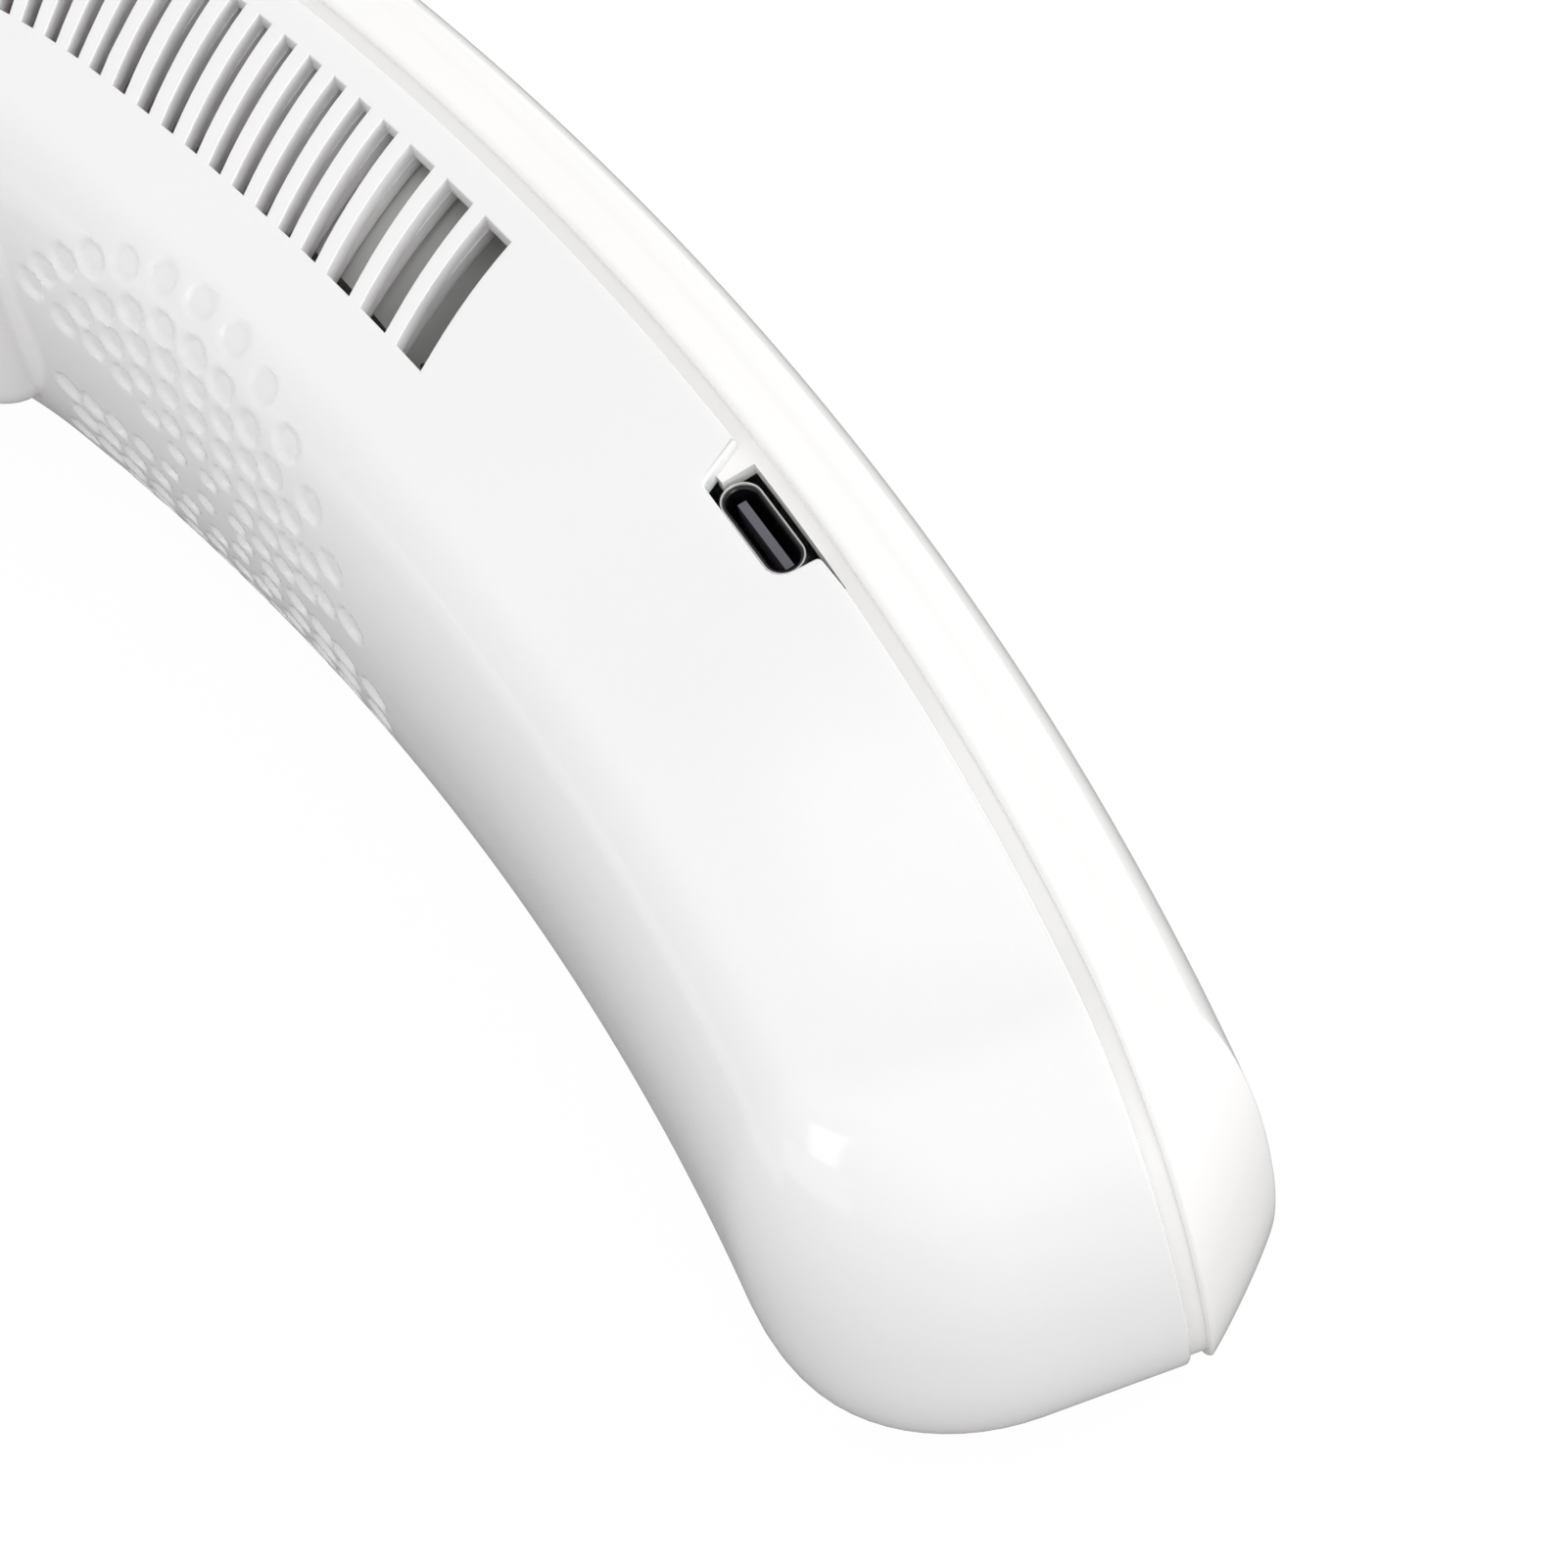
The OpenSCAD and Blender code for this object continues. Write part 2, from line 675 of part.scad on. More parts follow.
// Motor plate with the tube that carries the bearing and the stator
tube_wall = 1;
tube_radius = bearing_radius + tube_wall;
tube_rise = 1;
tube_floor = 0.6;
can_drop = 3.8;
can_top = impeller_front - can_drop;
can_bottom = disc_bottom - seat_gap;
winding_over = 0.6;
winding_room = 2.4;
core_lift = 1.6;
core_bottom = plate_top + core_lift;
core_height = can_top - rotor_wall - winding_room - winding_over - core_bottom;
tube_top = core_bottom + core_height + tube_rise;
module motor_plate() {
    color([0.85, 0.85, 0.84]) fan_frame() {
        difference() {
            union() {
                translate([0, 0, plate_bottom])
                    cylinder(r = scroll_outer, h = plate_thick, $fn = arc_fn);
                translate([0, 0, plate_bottom])
                    cylinder(r = tube_radius, h = tube_top - plate_bottom, $fn = round_fn);
            }
            translate([0, 0, plate_bottom + tube_floor])
                cylinder(r = bearing_radius, h = tube_top - plate_bottom, $fn = round_fn);
        }
        translate([0, 0, plate_bottom]) ear(plate_thick);
    }
}
module bearing() {
    color("goldenrod") fan_frame() translate([0, 0, plate_bottom + tube_floor]) difference() {
        cylinder(r = bearing_radius, h = tube_top - plate_bottom - tube_floor, $fn = round_fn);
        translate([0, 0, -over]) cylinder(r = shaft_radius + shaft_clearance,
            h = tube_top - plate_bottom + 2 * over, $fn = round_fn);
    }
}

// Stator core with six teeth, and a winding on each
tooth_count = 6;
core_wall = 0.9;
core_radius = tube_radius + core_wall;
air_gap = 0.8;
shoe_thick = 1;
rim_radius = rotor_radius - rotor_wall - air_gap;
tooth_reach = rim_radius - shoe_thick;
tooth_width = 1.4;
slot_mouth = 0.9;
winding_width = 3;
winding_gap = 0.05;
module stator() {
    color([0.45, 0.46, 0.48]) fan_frame() translate([0, 0, core_bottom]) difference() {
        union() {
            cylinder(r = core_radius, h = core_height, $fn = round_fn);
            for (i = [0:tooth_count - 1]) rotate([0, 0, i * 360 / tooth_count])
                translate([0, -tooth_width / 2, 0])
                    cube([(tooth_reach + rim_radius) / 2, tooth_width, core_height]);
            difference() {
                cylinder(r = rim_radius, h = core_height, $fn = round_fn);
                translate([0, 0, -over])
                    cylinder(r = tooth_reach, h = core_height + 2 * over, $fn = round_fn);
                for (i = [0:tooth_count - 1]) rotate([0, 0, (i + 0.5) * 360 / tooth_count])
                    translate([0, -slot_mouth / 2, -over])
                        cube([rim_radius + over, slot_mouth, core_height + 2 * over]);
            }
        }
        translate([0, 0, -over])
            cylinder(r = tube_radius, h = core_height + 2 * over, $fn = round_fn);
    }
}
module windings() {
    color([0.72, 0.42, 0.2]) fan_frame() for (i = [0:tooth_count - 1])
        rotate([0, 0, i * 360 / tooth_count]) difference() {
            translate([core_radius + 2 * winding_gap, -winding_width / 2,
                core_bottom - winding_over]) cube([tooth_reach - core_radius - 6 * winding_gap,
                winding_width, core_height + 2 * winding_over]);
            translate([0, -tooth_width / 2 - winding_gap, core_bottom - winding_gap])
                cube([rim_radius, tooth_width + 2 * winding_gap, core_height + 2 * winding_gap]);
        }
}

// Rotor can, shaft and impeller turn together
shaft_foot = 0.2;
shroud_width = 1.6;
blade_arc_radius = 5;
blade_sweep = 62;
module rotor_can() {
    color([0.62, 0.63, 0.66]) fan_frame() difference() {
        translate([0, 0, can_bottom])
            cylinder(r = rotor_radius, h = can_top - can_bottom, $fn = round_fn);
        translate([0, 0, can_bottom - over]) cylinder(r = rotor_radius - rotor_wall,
            h = can_top - can_bottom - rotor_wall + over, $fn = round_fn);
        translate([0, 0, can_bottom])
            cylinder(r = shaft_radius, h = can_top - can_bottom + over, $fn = round_fn);
    }
}
module shaft() {
    color([0.75, 0.76, 0.78]) fan_frame() translate([0, 0, plate_bottom + tube_floor + shaft_foot])
        cylinder(r = shaft_radius, h = can_top - plate_bottom - tube_floor - shaft_foot,
            $fn = round_fn);
}
module blade() {
    translate([blade_inner, 0, 0]) translate([0, -blade_arc_radius, 0])
        rotate([0, 0, 90 - blade_sweep]) rotate_extrude(angle = blade_sweep, $fn = curve_fn)
            translate([blade_arc_radius - blade_thick, 0]) square([blade_thick, blade_length]);
}
module impeller() {
    color([0.9, 0.9, 0.9]) fan_frame() {
        difference() {
            translate([0, 0, disc_bottom]) cylinder(r = hub_radius,
                h = can_top + rotor_wall - disc_bottom, $fn = round_fn);
            translate([0, 0, disc_bottom - over])
                cylinder(r = rotor_radius, h = can_top - disc_bottom + over, $fn = round_fn);
        }
        difference() {
            translate([0, 0, disc_bottom])
                cylinder(r = impeller_radius, h = rotor_wall, $fn = arc_fn);
            translate([0, 0, disc_bottom - over])
                cylinder(r = rotor_radius + rotor_wall / 2, h = rotor_wall + 2 * over, $fn = round_fn);
        }
        difference() {
            translate([0, 0, impeller_front - rotor_wall])
                cylinder(r = impeller_radius, h = rotor_wall, $fn = arc_fn);
            translate([0, 0, impeller_front - rotor_wall - over]) cylinder(
                r = impeller_radius - shroud_width, h = rotor_wall + 2 * over, $fn = arc_fn);
        }
        intersection() {
            translate([0, 0, disc_top - rotor_wall / 2]) cylinder(r = impeller_radius - rotor_wall / 4,
                h = blade_length, $fn = arc_fn);
            for (i = [0:blade_count - 1]) rotate([0, 0, i * 360 / blade_count])
                translate([0, 0, disc_top - rotor_wall / 2]) blade();
        }
    }
}

module fan_screws() {
    color("silver") fan_frame() at_ears() {
        translate([0, 0, plate_top + ear_thick])
            cylinder(r = head_radius, h = head_height, $fn = small_fn);
        translate([0, 0, plate_bottom - screw_length + over])
            cylinder(r = screw_radius, h = screw_length - over + plate_thick + ear_thick + head_height / 2,
                $fn = small_fn);
    }
}

module battery() {
    color([0.35, 0.5, 0.75]) at_station(battery_station)
        translate([battery_back, -battery_length / 2, mid_height - battery_width / 2])
            cube([battery_thick, battery_length, battery_width]);
}

module main_board() {
    color([0.1, 0.35, 0.2]) board_frame() difference() {
        translate([board_face - board_thick, -board_length / 2, board_bottom])
            cube([board_thick, board_length, board_top - board_bottom]);
        board_holes(screw_radius + 2 * screw_gap);
    }
}
module board_screws() {
    color("silver") board_frame() for (side = [-1, 1])
        translate([board_face - board_thick - board_rib_depth + over / 2, side * board_screw_y,
            board_screw_z]) rotate([0, 90, 0]) {
            cylinder(r = screw_radius, h = board_rib_depth + board_thick, $fn = small_fn);
            translate([0, 0, board_rib_depth + board_thick - over / 2])
                cylinder(r = head_radius, h = head_height, $fn = small_fn);
        }
}

// Receptacle: a stadium tube with a tongue inside, opening upward
tongue_reach = 6;
tongue_margin = 1.1;
tongue_width = port_width - 2 * tongue_margin;
port_floor = 0.8;
module stadium(width, thick, length) {
    for (side = [-1, 1]) translate([0, side * (width - thick) / 2, 0])
        cylinder(r = thick / 2, h = length, $fn = small_fn);
    translate([-thick / 2, -(width - thick) / 2, 0]) cube([thick, width - thick, length]);
}
module port_frame() {
    board_frame() translate([port_offset, port_y, port_mouth - port_length]) children();
}
module usb_c_shell() {
    color([0.5, 0.5, 0.52]) port_frame() difference() {
        stadium(port_width, port_thick, port_length);
        translate([0, 0, port_floor]) stadium(port_width - 2 * port_wall,
            port_thick - 2 * port_wall, port_length);
    }
}
module usb_c_tongue() {
    color([0.15, 0.15, 0.16]) port_frame() translate([-tongue_thick / 2, -tongue_width / 2,
        port_floor]) cube([tongue_thick, tongue_width, tongue_reach]);
}

// Tactile switch on the board, and the button that presses it
switch_width = 6;
switch_body = 3.4;
plunger_radius = 1.6;
plunger_height = 0.6;
module power_switch() {
    color([0.2, 0.2, 0.2]) board_frame() translate([board_face, button_y, button_height]) {
        translate([0, -switch_width / 2, -switch_width / 2])
            cube([switch_body, switch_width, switch_width]);
        rotate([0, 90, 0])
            cylinder(r = plunger_radius, h = switch_body + plunger_height, $fn = small_fn);
    }
}
button_sink = 0.4;
button_face = cover_offset + button_proud - button_sink;
button_flange = 1;
button_skirt = 4.1;
button_stem = 1.4;
stem_end = board_face + switch_body + plunger_height + button_travel + seat_gap;
module power_button() {
    color(cover_white) board_frame() translate([0, button_y, button_height]) rotate([0, 90, 0]) {
        translate([0, 0, button_face - button_skirt])
            cylinder(r = button_radius, h = button_skirt, $fn = round_fn);
        translate([0, 0, button_face - button_skirt])
            cylinder(r = button_radius + button_flange, h = button_flange, $fn = round_fn);
        translate([0, 0, stem_end])
            cylinder(r = button_stem, h = button_face - button_skirt / 2 - stem_end, $fn = small_fn);
    }
}

// Light guide with four lenses, for the charge lamps
guide_thick = 1.2;
guide_height = 2.6;
guide_margin = 1.5;
guide_face = inner_cover(button_height - mid_height) - fit_gap;
module battery_leds() {
    color([0.9, 0.95, 1]) {
        front_sweep(led_start - guide_margin,
            led_start + (led_count - 1) * led_pitch + guide_margin)
            translate([guide_face - guide_thick, button_height - guide_height / 2])
                square([guide_thick, guide_height]);
        for (i = [0:led_count - 1]) at_station(led_start + i * led_pitch,
            guide_face - guide_thick / 2, button_height) rotate([0, 90, 0])
            cylinder(r = led_radius, h = cover_offset - guide_face + guide_thick / 2 - seat_gap,
                $fn = small_fn);
    }
}

// Pair of leads that joins the two batteries round the nape
lead_radius = 0.75;
lead_pitch = 1.7;
lead_offset = -19;
lead_gap = 0.3;
lead_start = battery_station + front_radius * PI / 180
    * asin((battery_length / 2 + lead_gap) / (front_radius + lead_offset - lead_radius));
lead_sides = 8;
lead_steps = 22;
apex_station = front_length + (90 - junction_angle) * PI / 180 * nape_radius;
function lead_station(i) = lead_start + (apex_station - lead_start) * i / lead_steps;
function lead_ring(s, side, rise) = [for (k = [0:lead_sides - 1])
    let (f = -360 * k / lead_sides, p = place(s, lead_offset + lead_radius * cos(f)))
    [side * p.x, p.y, mid_height + rise + lead_radius * sin(f)]];
module power_leads() {
    color([0.7, 0.1, 0.1]) for (rise = [-lead_pitch / 2, lead_pitch / 2])
        loft(concat([for (i = [0:lead_steps]) lead_ring(lead_station(i), 1, rise)],
            [for (i = [lead_steps - 1:-1:0]) lead_ring(lead_station(i), -1, rise)]));
}

module left() {
    mirror([1, 0, 0]) children();
}

body_shell(true);  // right_body_shell
left() body_shell(false);  // left_body_shell
nape_body_shell();
outer_cover(true);  // right_outer_cover
left() outer_cover(false);  // left_outer_cover
nape_outer_cover();
intake_grille();  // right_intake_grille
left() intake_grille();  // left_intake_grille
skin_pad();  // right_skin_pad
left() skin_pad();  // left_skin_pad
fan_scroll();  // right_fan_scroll
left() fan_scroll();  // left_fan_scroll
motor_plate();  // right_motor_plate
left() motor_plate();  // left_motor_plate
bearing();  // right_bearing
left() bearing();  // left_bearing
stator();  // right_stator
left() stator();  // left_stator
windings();  // right_windings
left() windings();  // left_windings
rotor_can();  // right_rotor_can
left() rotor_can();  // left_rotor_can
impeller();  // right_impeller
left() impeller();  // left_impeller
shaft();  // right_shaft
left() shaft();  // left_shaft
fan_screws();  // right_fan_screws
left() fan_screws();  // left_fan_screws
battery();  // right_battery
left() battery();  // left_battery
main_board();
board_screws();
usb_c_shell();
usb_c_tongue();
power_switch();
power_button();
battery_leds();
power_leads();
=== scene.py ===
# White electric neck fan, dressed for the photograph's view and for every other side.

import math

import bmesh
import bpy
import numpy as np
from mathutils import Matrix, Quaternion, Vector
from mathutils.geometry import tessellate_polygon


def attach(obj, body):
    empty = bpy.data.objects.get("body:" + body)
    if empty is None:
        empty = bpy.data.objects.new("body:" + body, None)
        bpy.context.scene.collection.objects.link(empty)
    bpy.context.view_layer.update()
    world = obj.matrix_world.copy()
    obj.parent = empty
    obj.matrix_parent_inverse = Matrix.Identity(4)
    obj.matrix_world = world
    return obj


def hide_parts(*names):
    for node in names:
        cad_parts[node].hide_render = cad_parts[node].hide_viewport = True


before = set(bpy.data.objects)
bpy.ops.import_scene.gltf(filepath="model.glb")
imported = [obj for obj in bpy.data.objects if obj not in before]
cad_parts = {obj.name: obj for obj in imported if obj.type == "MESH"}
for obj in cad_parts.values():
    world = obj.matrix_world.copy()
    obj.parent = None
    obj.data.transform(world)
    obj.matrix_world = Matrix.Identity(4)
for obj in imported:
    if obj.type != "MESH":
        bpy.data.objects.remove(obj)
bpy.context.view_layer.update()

# Camera
# A long lens about 600 mm away looks down on the end of the right arm. Its place and turn come
# from the outlines, the seam, the slots and the port, all fitted in millimetres.
SENSOR_WIDTH = 36.0
LENS = 200.2
CAMERA_PLACE = (-0.002545, -0.372923, 0.544202)
CAMERA_TURN = (32.1054, 8.0762, -26.9207)

camera_data = bpy.data.cameras.new("camera")
camera_data.lens = LENS
camera_data.sensor_width = SENSOR_WIDTH
camera_data.clip_start = 0.01
camera_data.clip_end = 10.0
camera = bpy.data.objects.new("camera", camera_data)
camera.location = CAMERA_PLACE
camera.rotation_euler = [math.radians(a) for a in CAMERA_TURN]
bpy.context.scene.collection.objects.link(camera)
bpy.context.scene.camera = camera
bpy.context.scene.view_settings.view_transform = "Standard"


# Studio
# A white sweep in a pale tent, as product pictures are made. The tent gives most of the light,
# soft boxes and a card on the floor lift the tip and the sides, and two small windows leave the
# glossy highlights. The camera sees none of the lamps.
def linear(code):
    """The linear colour of an sRGB hex value, with alpha 1."""
    parts = [int(code[i:i + 2], 16) / 255 for i in (1, 3, 5)]
    return [c / 12.92 if c <= 0.04045 else ((c + 0.055) / 1.055) ** 2.4 for c in parts] + [1.0]


def add(material, kind, links=(), **settings):
    """Adds a node; settings are its properties or sockets, links are (socket, output) pairs."""
    node = material.node_tree.nodes.new("ShaderNode" + kind)
    for key, value in settings.items():
        name = key.replace("_", " ")
        if name in node.inputs:
            node.inputs[name].default_value = value
        else:
            setattr(node, key, value)
    for socket, output in links:
        material.node_tree.links.new(output, node.inputs[socket])
    return node


def blank_material(name):
    material = bpy.data.materials.new(name)
    material.use_nodes = True
    material.node_tree.nodes.clear()
    return material


def looked_at(material, mirrored):
    """1 for rays that look straight, mirrored or through glass, and the white that they see."""
    path = add(material, "LightPath").outputs
    direct = add(material, "Math", [(0, path["Is Camera Ray"]), (1, path["Is Glossy Ray"])],
                 operation="MAXIMUM")
    seen = add(material, "Math", [(0, direct.outputs[0]), (1, path["Is Transmission Ray"])],
               operation="MAXIMUM")
    white = add(material, "MapRange", [("Value", path["Is Camera Ray"])], To_Min=mirrored,
                To_Max=SEEN_WHITE)
    return seen.outputs[0], white.outputs["Result"]


FLOOR_SIZE, FLOOR_DROP = 6.0, 0.0004
FLOOR_GLOW = 0.9
SEEN_WHITE, MIRRORED_WHITE, MIRRORED_FLOOR = 1.06, 0.5, 0.24

floor_paper = blank_material("white_paper_sweep")
seen, white = looked_at(floor_paper, MIRRORED_FLOOR)
matt = add(floor_paper, "BsdfDiffuse", Color=linear("#C4C3C3"))
glow = add(floor_paper, "Emission", [("Strength", white)], Color=linear("#FFFFFF"))
share = add(floor_paper, "Math", [(0, seen)], operation="MULTIPLY")
share.inputs[1].default_value = FLOOR_GLOW
mixed = add(floor_paper, "MixShader",
            [(0, share.outputs[0]), (1, matt.outputs[0]), (2, glow.outputs[0])])
add(floor_paper, "OutputMaterial", [("Surface", mixed.outputs[0])])

floor_mesh = bpy.data.meshes.new("floor")
half = FLOOR_SIZE / 2
floor_mesh.from_pydata([(-half, -half, 0), (half, -half, 0), (half, half, 0), (-half, half, 0)], [],
                       [(0, 1, 2, 3)])
floor_mesh.materials.append(floor_paper)
floor = bpy.data.objects.new("floor", floor_mesh)
floor.location.z = -FLOOR_DROP
bpy.context.scene.collection.objects.link(floor)

TENT_LIGHT = 0.84

world = bpy.data.worlds.new("studio")
bpy.context.scene.world = world
world.use_nodes = True
world.node_tree.nodes.clear()
seen, white = looked_at(world, MIRRORED_WHITE)
ambient = add(world, "Background", Color=linear("#FEFDFD"), Strength=TENT_LIGHT)
tent = add(world, "Background", [("Strength", white)], Color=linear("#FFFFFF"))
mixed = add(world, "MixShader", [(0, seen), (1, ambient.outputs[0]), (2, tent.outputs[0])])
add(world, "OutputWorld", [("Surface", mixed.outputs[0])])

SOFT_BOXES = {
    # name: place, aim, width, height, roll in degrees, power in watts
    "over_box": ((0.25, 0.05, 1.25), (0.04, 0.0, 0.02), 1.1, 1.1, 0, 0.6),
    "low_box": ((0.5, -1.2, 0.3), (0.06, 0.0, 0.02), 0.8, 0.5, 0, 2.6),
    "side_box": ((1.15, -0.25, 0.6), (0.06, 0.0, 0.02), 0.8, 0.8, 0, 3.3),
    "neck_box": ((-1.1, -0.5, 0.35), (0.05, 0.0, 0.02), 0.8, 0.6, 0, 0.9),
    "tip_window": ((-0.335, -0.297, 0.495), (0.068, -0.082, 0.04), 0.15, 0.36, 0, 0.36),
    "floor_card": ((0.42, -0.08, 0.002), (0.42, -0.08, 1.0), 0.56, 0.9, 0, 0.8),
    "face_window": ((0.18, 0.24, 0.545), (0.084, -0.07, 0.041), 0.05, 0.034, 0, 0.008),
}
for name, (place_at, aim, width, height_box, roll, power) in SOFT_BOXES.items():
    lamp = bpy.data.lights.new(name, "AREA")
    lamp.shape = "RECTANGLE"
    lamp.size, lamp.size_y, lamp.energy = width, height_box, power
    box = bpy.data.objects.new(name, lamp)
    box.location = place_at
    facing = (Vector(aim) - Vector(place_at)).to_track_quat("-Z", "Y")
    box.rotation_euler = (facing @ Quaternion((0, 0, 1), math.radians(roll))).to_euler()
    box.visible_camera = False
    bpy.context.scene.collection.objects.link(box)


# Right and left body shells
# Injection-moulded white ABS with a polished face: one thin shell per arm, cut open along the
# seam, with thirty air slots in both faces and a sunburst of blind dimples on the neck side.
FRONT_RADIUS, NAPE_RADIUS, FRONT_LENGTH, TOE_IN = 273.0, 80.0, 128.0, 9.0
HEIGHT, BODY_DEPTH, SHOULDER, END_DEPTH, TIP_CORNER = 41.0, 27.4, 8.0, 15.0, 16.5
SECTION_POWER, WALL, NAPE_START = 2.28, 1.6, 190.0
MIDDLE = HEIGHT / 2
EDGE_ROUND = 0.35
COVER_LARGEST, GROOVE, COVER_CORNER, COVER_POWER = 9.6, 1.3, 8.5, 1.05
TO_METRES = 0.001

junction = FRONT_LENGTH / FRONT_RADIUS - math.radians(TOE_IN)
# The cover's corner is a superellipse. Its dual power gives how far the tilted corner reaches.
CORNER_DUAL = COVER_POWER / (COVER_POWER - 1)
corner_reach = (((COVER_LARGEST - GROOVE) * math.sin(math.radians(TOE_IN))) ** CORNER_DUAL
                + (COVER_CORNER * math.cos(math.radians(TOE_IN))) ** CORNER_DUAL) ** (1 / CORNER_DUAL)
tip_reach = ((FRONT_RADIUS - NAPE_RADIUS) * math.sin(junction)
             + (FRONT_RADIUS + GROOVE) * math.sin(math.radians(TOE_IN))
             - COVER_CORNER * math.cos(math.radians(TOE_IN)) + corner_reach)
nape_centre = np.array([0.0, (tip_reach - NAPE_RADIUS - COVER_LARGEST) / 2])
front_centre = nape_centre - (FRONT_RADIUS - NAPE_RADIUS) * np.array(
    [math.cos(junction), math.sin(junction)])


def seam_angle(station):
    s = np.asarray(station, float)
    return np.where(s < FRONT_LENGTH, s / FRONT_RADIUS - math.radians(TOE_IN),
                    junction + (s - FRONT_LENGTH) / NAPE_RADIUS)


def place(station, offset):
    """Plan points in mm at stations along the seam and offsets outward from it."""
    s, o = np.broadcast_arrays(np.asarray(station, float), np.asarray(offset, float))
    front = s < FRONT_LENGTH
    angle = seam_angle(s)
    reach = np.where(front, FRONT_RADIUS, NAPE_RADIUS) + o
    x = np.where(front, front_centre[0], nape_centre[0]) + reach * np.cos(angle)
    y = np.where(front, front_centre[1], nape_centre[1]) + reach * np.sin(angle)
    return np.stack([x, y], -1)


def swell(level):
    """Width share of the rounded side at a level from 1, the upper face, to -1."""
    return np.maximum(0, 1 - np.abs(level) ** SECTION_POWER) ** (1 / SECTION_POWER)


def tip_end(level, inset):
    return inset + (END_DEPTH - inset) * (1 - swell(level))


def height_at(level, inset):
    return MIDDLE + (MIDDLE - inset) * np.asarray(level, float)


def even_levels(count):
    """Levels from 1 to -1 at equal steps along the rounded side, and the step's arc lengths."""
    t = np.linspace(0, math.pi, 4001)
    level = np.sign(np.cos(t)) * np.abs(np.cos(t)) ** (2 / SECTION_POWER)
    side = SHOULDER * (1 - swell(level))
    length = np.concatenate([[0], np.cumsum(np.hypot(np.diff(side), MIDDLE * np.diff(level)))])
    along = np.linspace(0, length[-1], count)
    found = np.interp(along, length, level)
    found[0], found[-1] = 1.0, -1.0
    return found, along - length[-1] / 2


def sheet(rows):
    """Points and faces of a grid made of rows of points."""
    rows = np.array(rows)
    count, columns = rows.shape[:2]
    return rows.reshape(-1, 3), [(r * columns + c, r * columns + c + 1, (r + 1) * columns + c + 1,
                                  (r + 1) * columns + c)
                                 for r in range(count - 1) for c in range(columns - 1)]


def closed_rows(loops):
    """The same for rows that close on themselves."""
    return sheet([np.concatenate([loop, loop[:1]]) for loop in loops])


def lid(loop):
    """One face over a loop of points."""
    return loop, [tuple(range(len(loop)))]


def at_height(plan, z):
    return np.concatenate([plan, np.broadcast_to(np.asarray(z, float), plan.shape[:1])[:, None]], 1)


def flat_face(outline, holes, z):
    """Points and triangles of a flat plate with holes, from plan outlines."""
    loops = [outline] + list(holes)
    triangles = tessellate_polygon([[Vector((p[0], p[1], 0)) for p in loop] for loop in loops])
    return at_height(np.concatenate(loops), z), [tuple(t) for t in triangles]


ROUND_STEPS = [0.0, 30.0, 60.0, 90.0]


def edge_arc(radius):
    """Steps of a rounded edge, as (how far it stands back, how far it drops)."""
    return [(radius * (1 - math.sin(math.radians(a))), radius * (1 - math.cos(math.radians(a))))
            for a in ROUND_STEPS]


def station_axes(station):
    """Plan directions at a station: outward across the seam, and along it towards the nape."""
    angle = float(seam_angle(station))
    return (np.array([math.cos(angle), math.sin(angle)]),
            np.array([-math.sin(angle), math.cos(angle)]))


def plan_normals(points, closed):
    """Unit normals to the right of the direction of travel."""
    if closed:
        step = np.roll(points, -1, 0) - np.roll(points, 1, 0)
    else:
        step = np.gradient(points, axis=0)
    normal = np.stack([step[:, 1], -step[:, 0]], 1)
    return normal / np.maximum(np.linalg.norm(normal, axis=1), 1e-9)[:, None]


def rounded(corners, radii, steps=5):
    """A path through plan corners, each rounded by an arc-like curve of its radius."""
    path_points = [np.array(corners[0], float)]
    for before, corner, after, radius in zip(corners, corners[1:], corners[2:], radii):
        before, corner, after = (np.array(p, float) for p in (before, corner, after))
        a = corner + (before - corner) / np.linalg.norm(before - corner) * radius
        b = corner + (after - corner) / np.linalg.norm(after - corner) * radius
        for u in np.linspace(0, 1, steps + 1):
            path_points.append((1 - u) ** 2 * a + 2 * u * (1 - u) * corner + u ** 2 * b)
    path_points.append(np.array(corners[-1], float))
    return np.array(path_points)


MERGE_DISTANCE, SMOOTH_ANGLE = 0.0004, 28.0


def make_piece(name, parts, material, body, mirrored=False, fill=True,
               smooth_angle=SMOOTH_ANGLE):
    """One closed mesh, in mm, from parts of (points, faces), as an object that rides a body."""
    mesh = bpy.data.meshes.new(name)
    built = bmesh.new()
    for points, faces in parts:
        flip = np.array([-1.0, 1.0, 1.0]) if mirrored else np.ones(3)
        made = [built.verts.new(p) for p in points * flip]
        for face in faces:
            corners = [made[i] for i in face]
            if len(set(corners)) == len(corners):
                try:
                    built.faces.new(corners)
                except ValueError:
                    continue
    bmesh.ops.remove_doubles(built, verts=built.verts, dist=MERGE_DISTANCE)
    bmesh.ops.dissolve_degenerate(built, edges=built.edges, dist=MERGE_DISTANCE)
    if fill:
        bmesh.ops.holes_fill(built, edges=[e for e in built.edges if e.is_boundary], sides=0)
    bmesh.ops.recalc_face_normals(built, faces=built.faces)
    bmesh.ops.scale(built, vec=(TO_METRES,) * 3, verts=built.verts)
    built.to_mesh(mesh)
    built.free()
    mesh.shade_smooth()
    mesh.set_sharp_from_angle(angle=math.radians(smooth_angle))
    mesh.materials.append(material)
    piece = bpy.data.objects.new(name, mesh)
    bpy.context.scene.collection.objects.link(piece)
    even = piece.modifiers.new("even_normals", "WEIGHTED_NORMAL")
    even.keep_sharp = True
    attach(piece, body)
    return piece


DRIFT_MM, RUB_MM, GLOSS_SPREAD, GLOW_DEPTH_MM = 35.0, 9.0, 0.18, 1.3


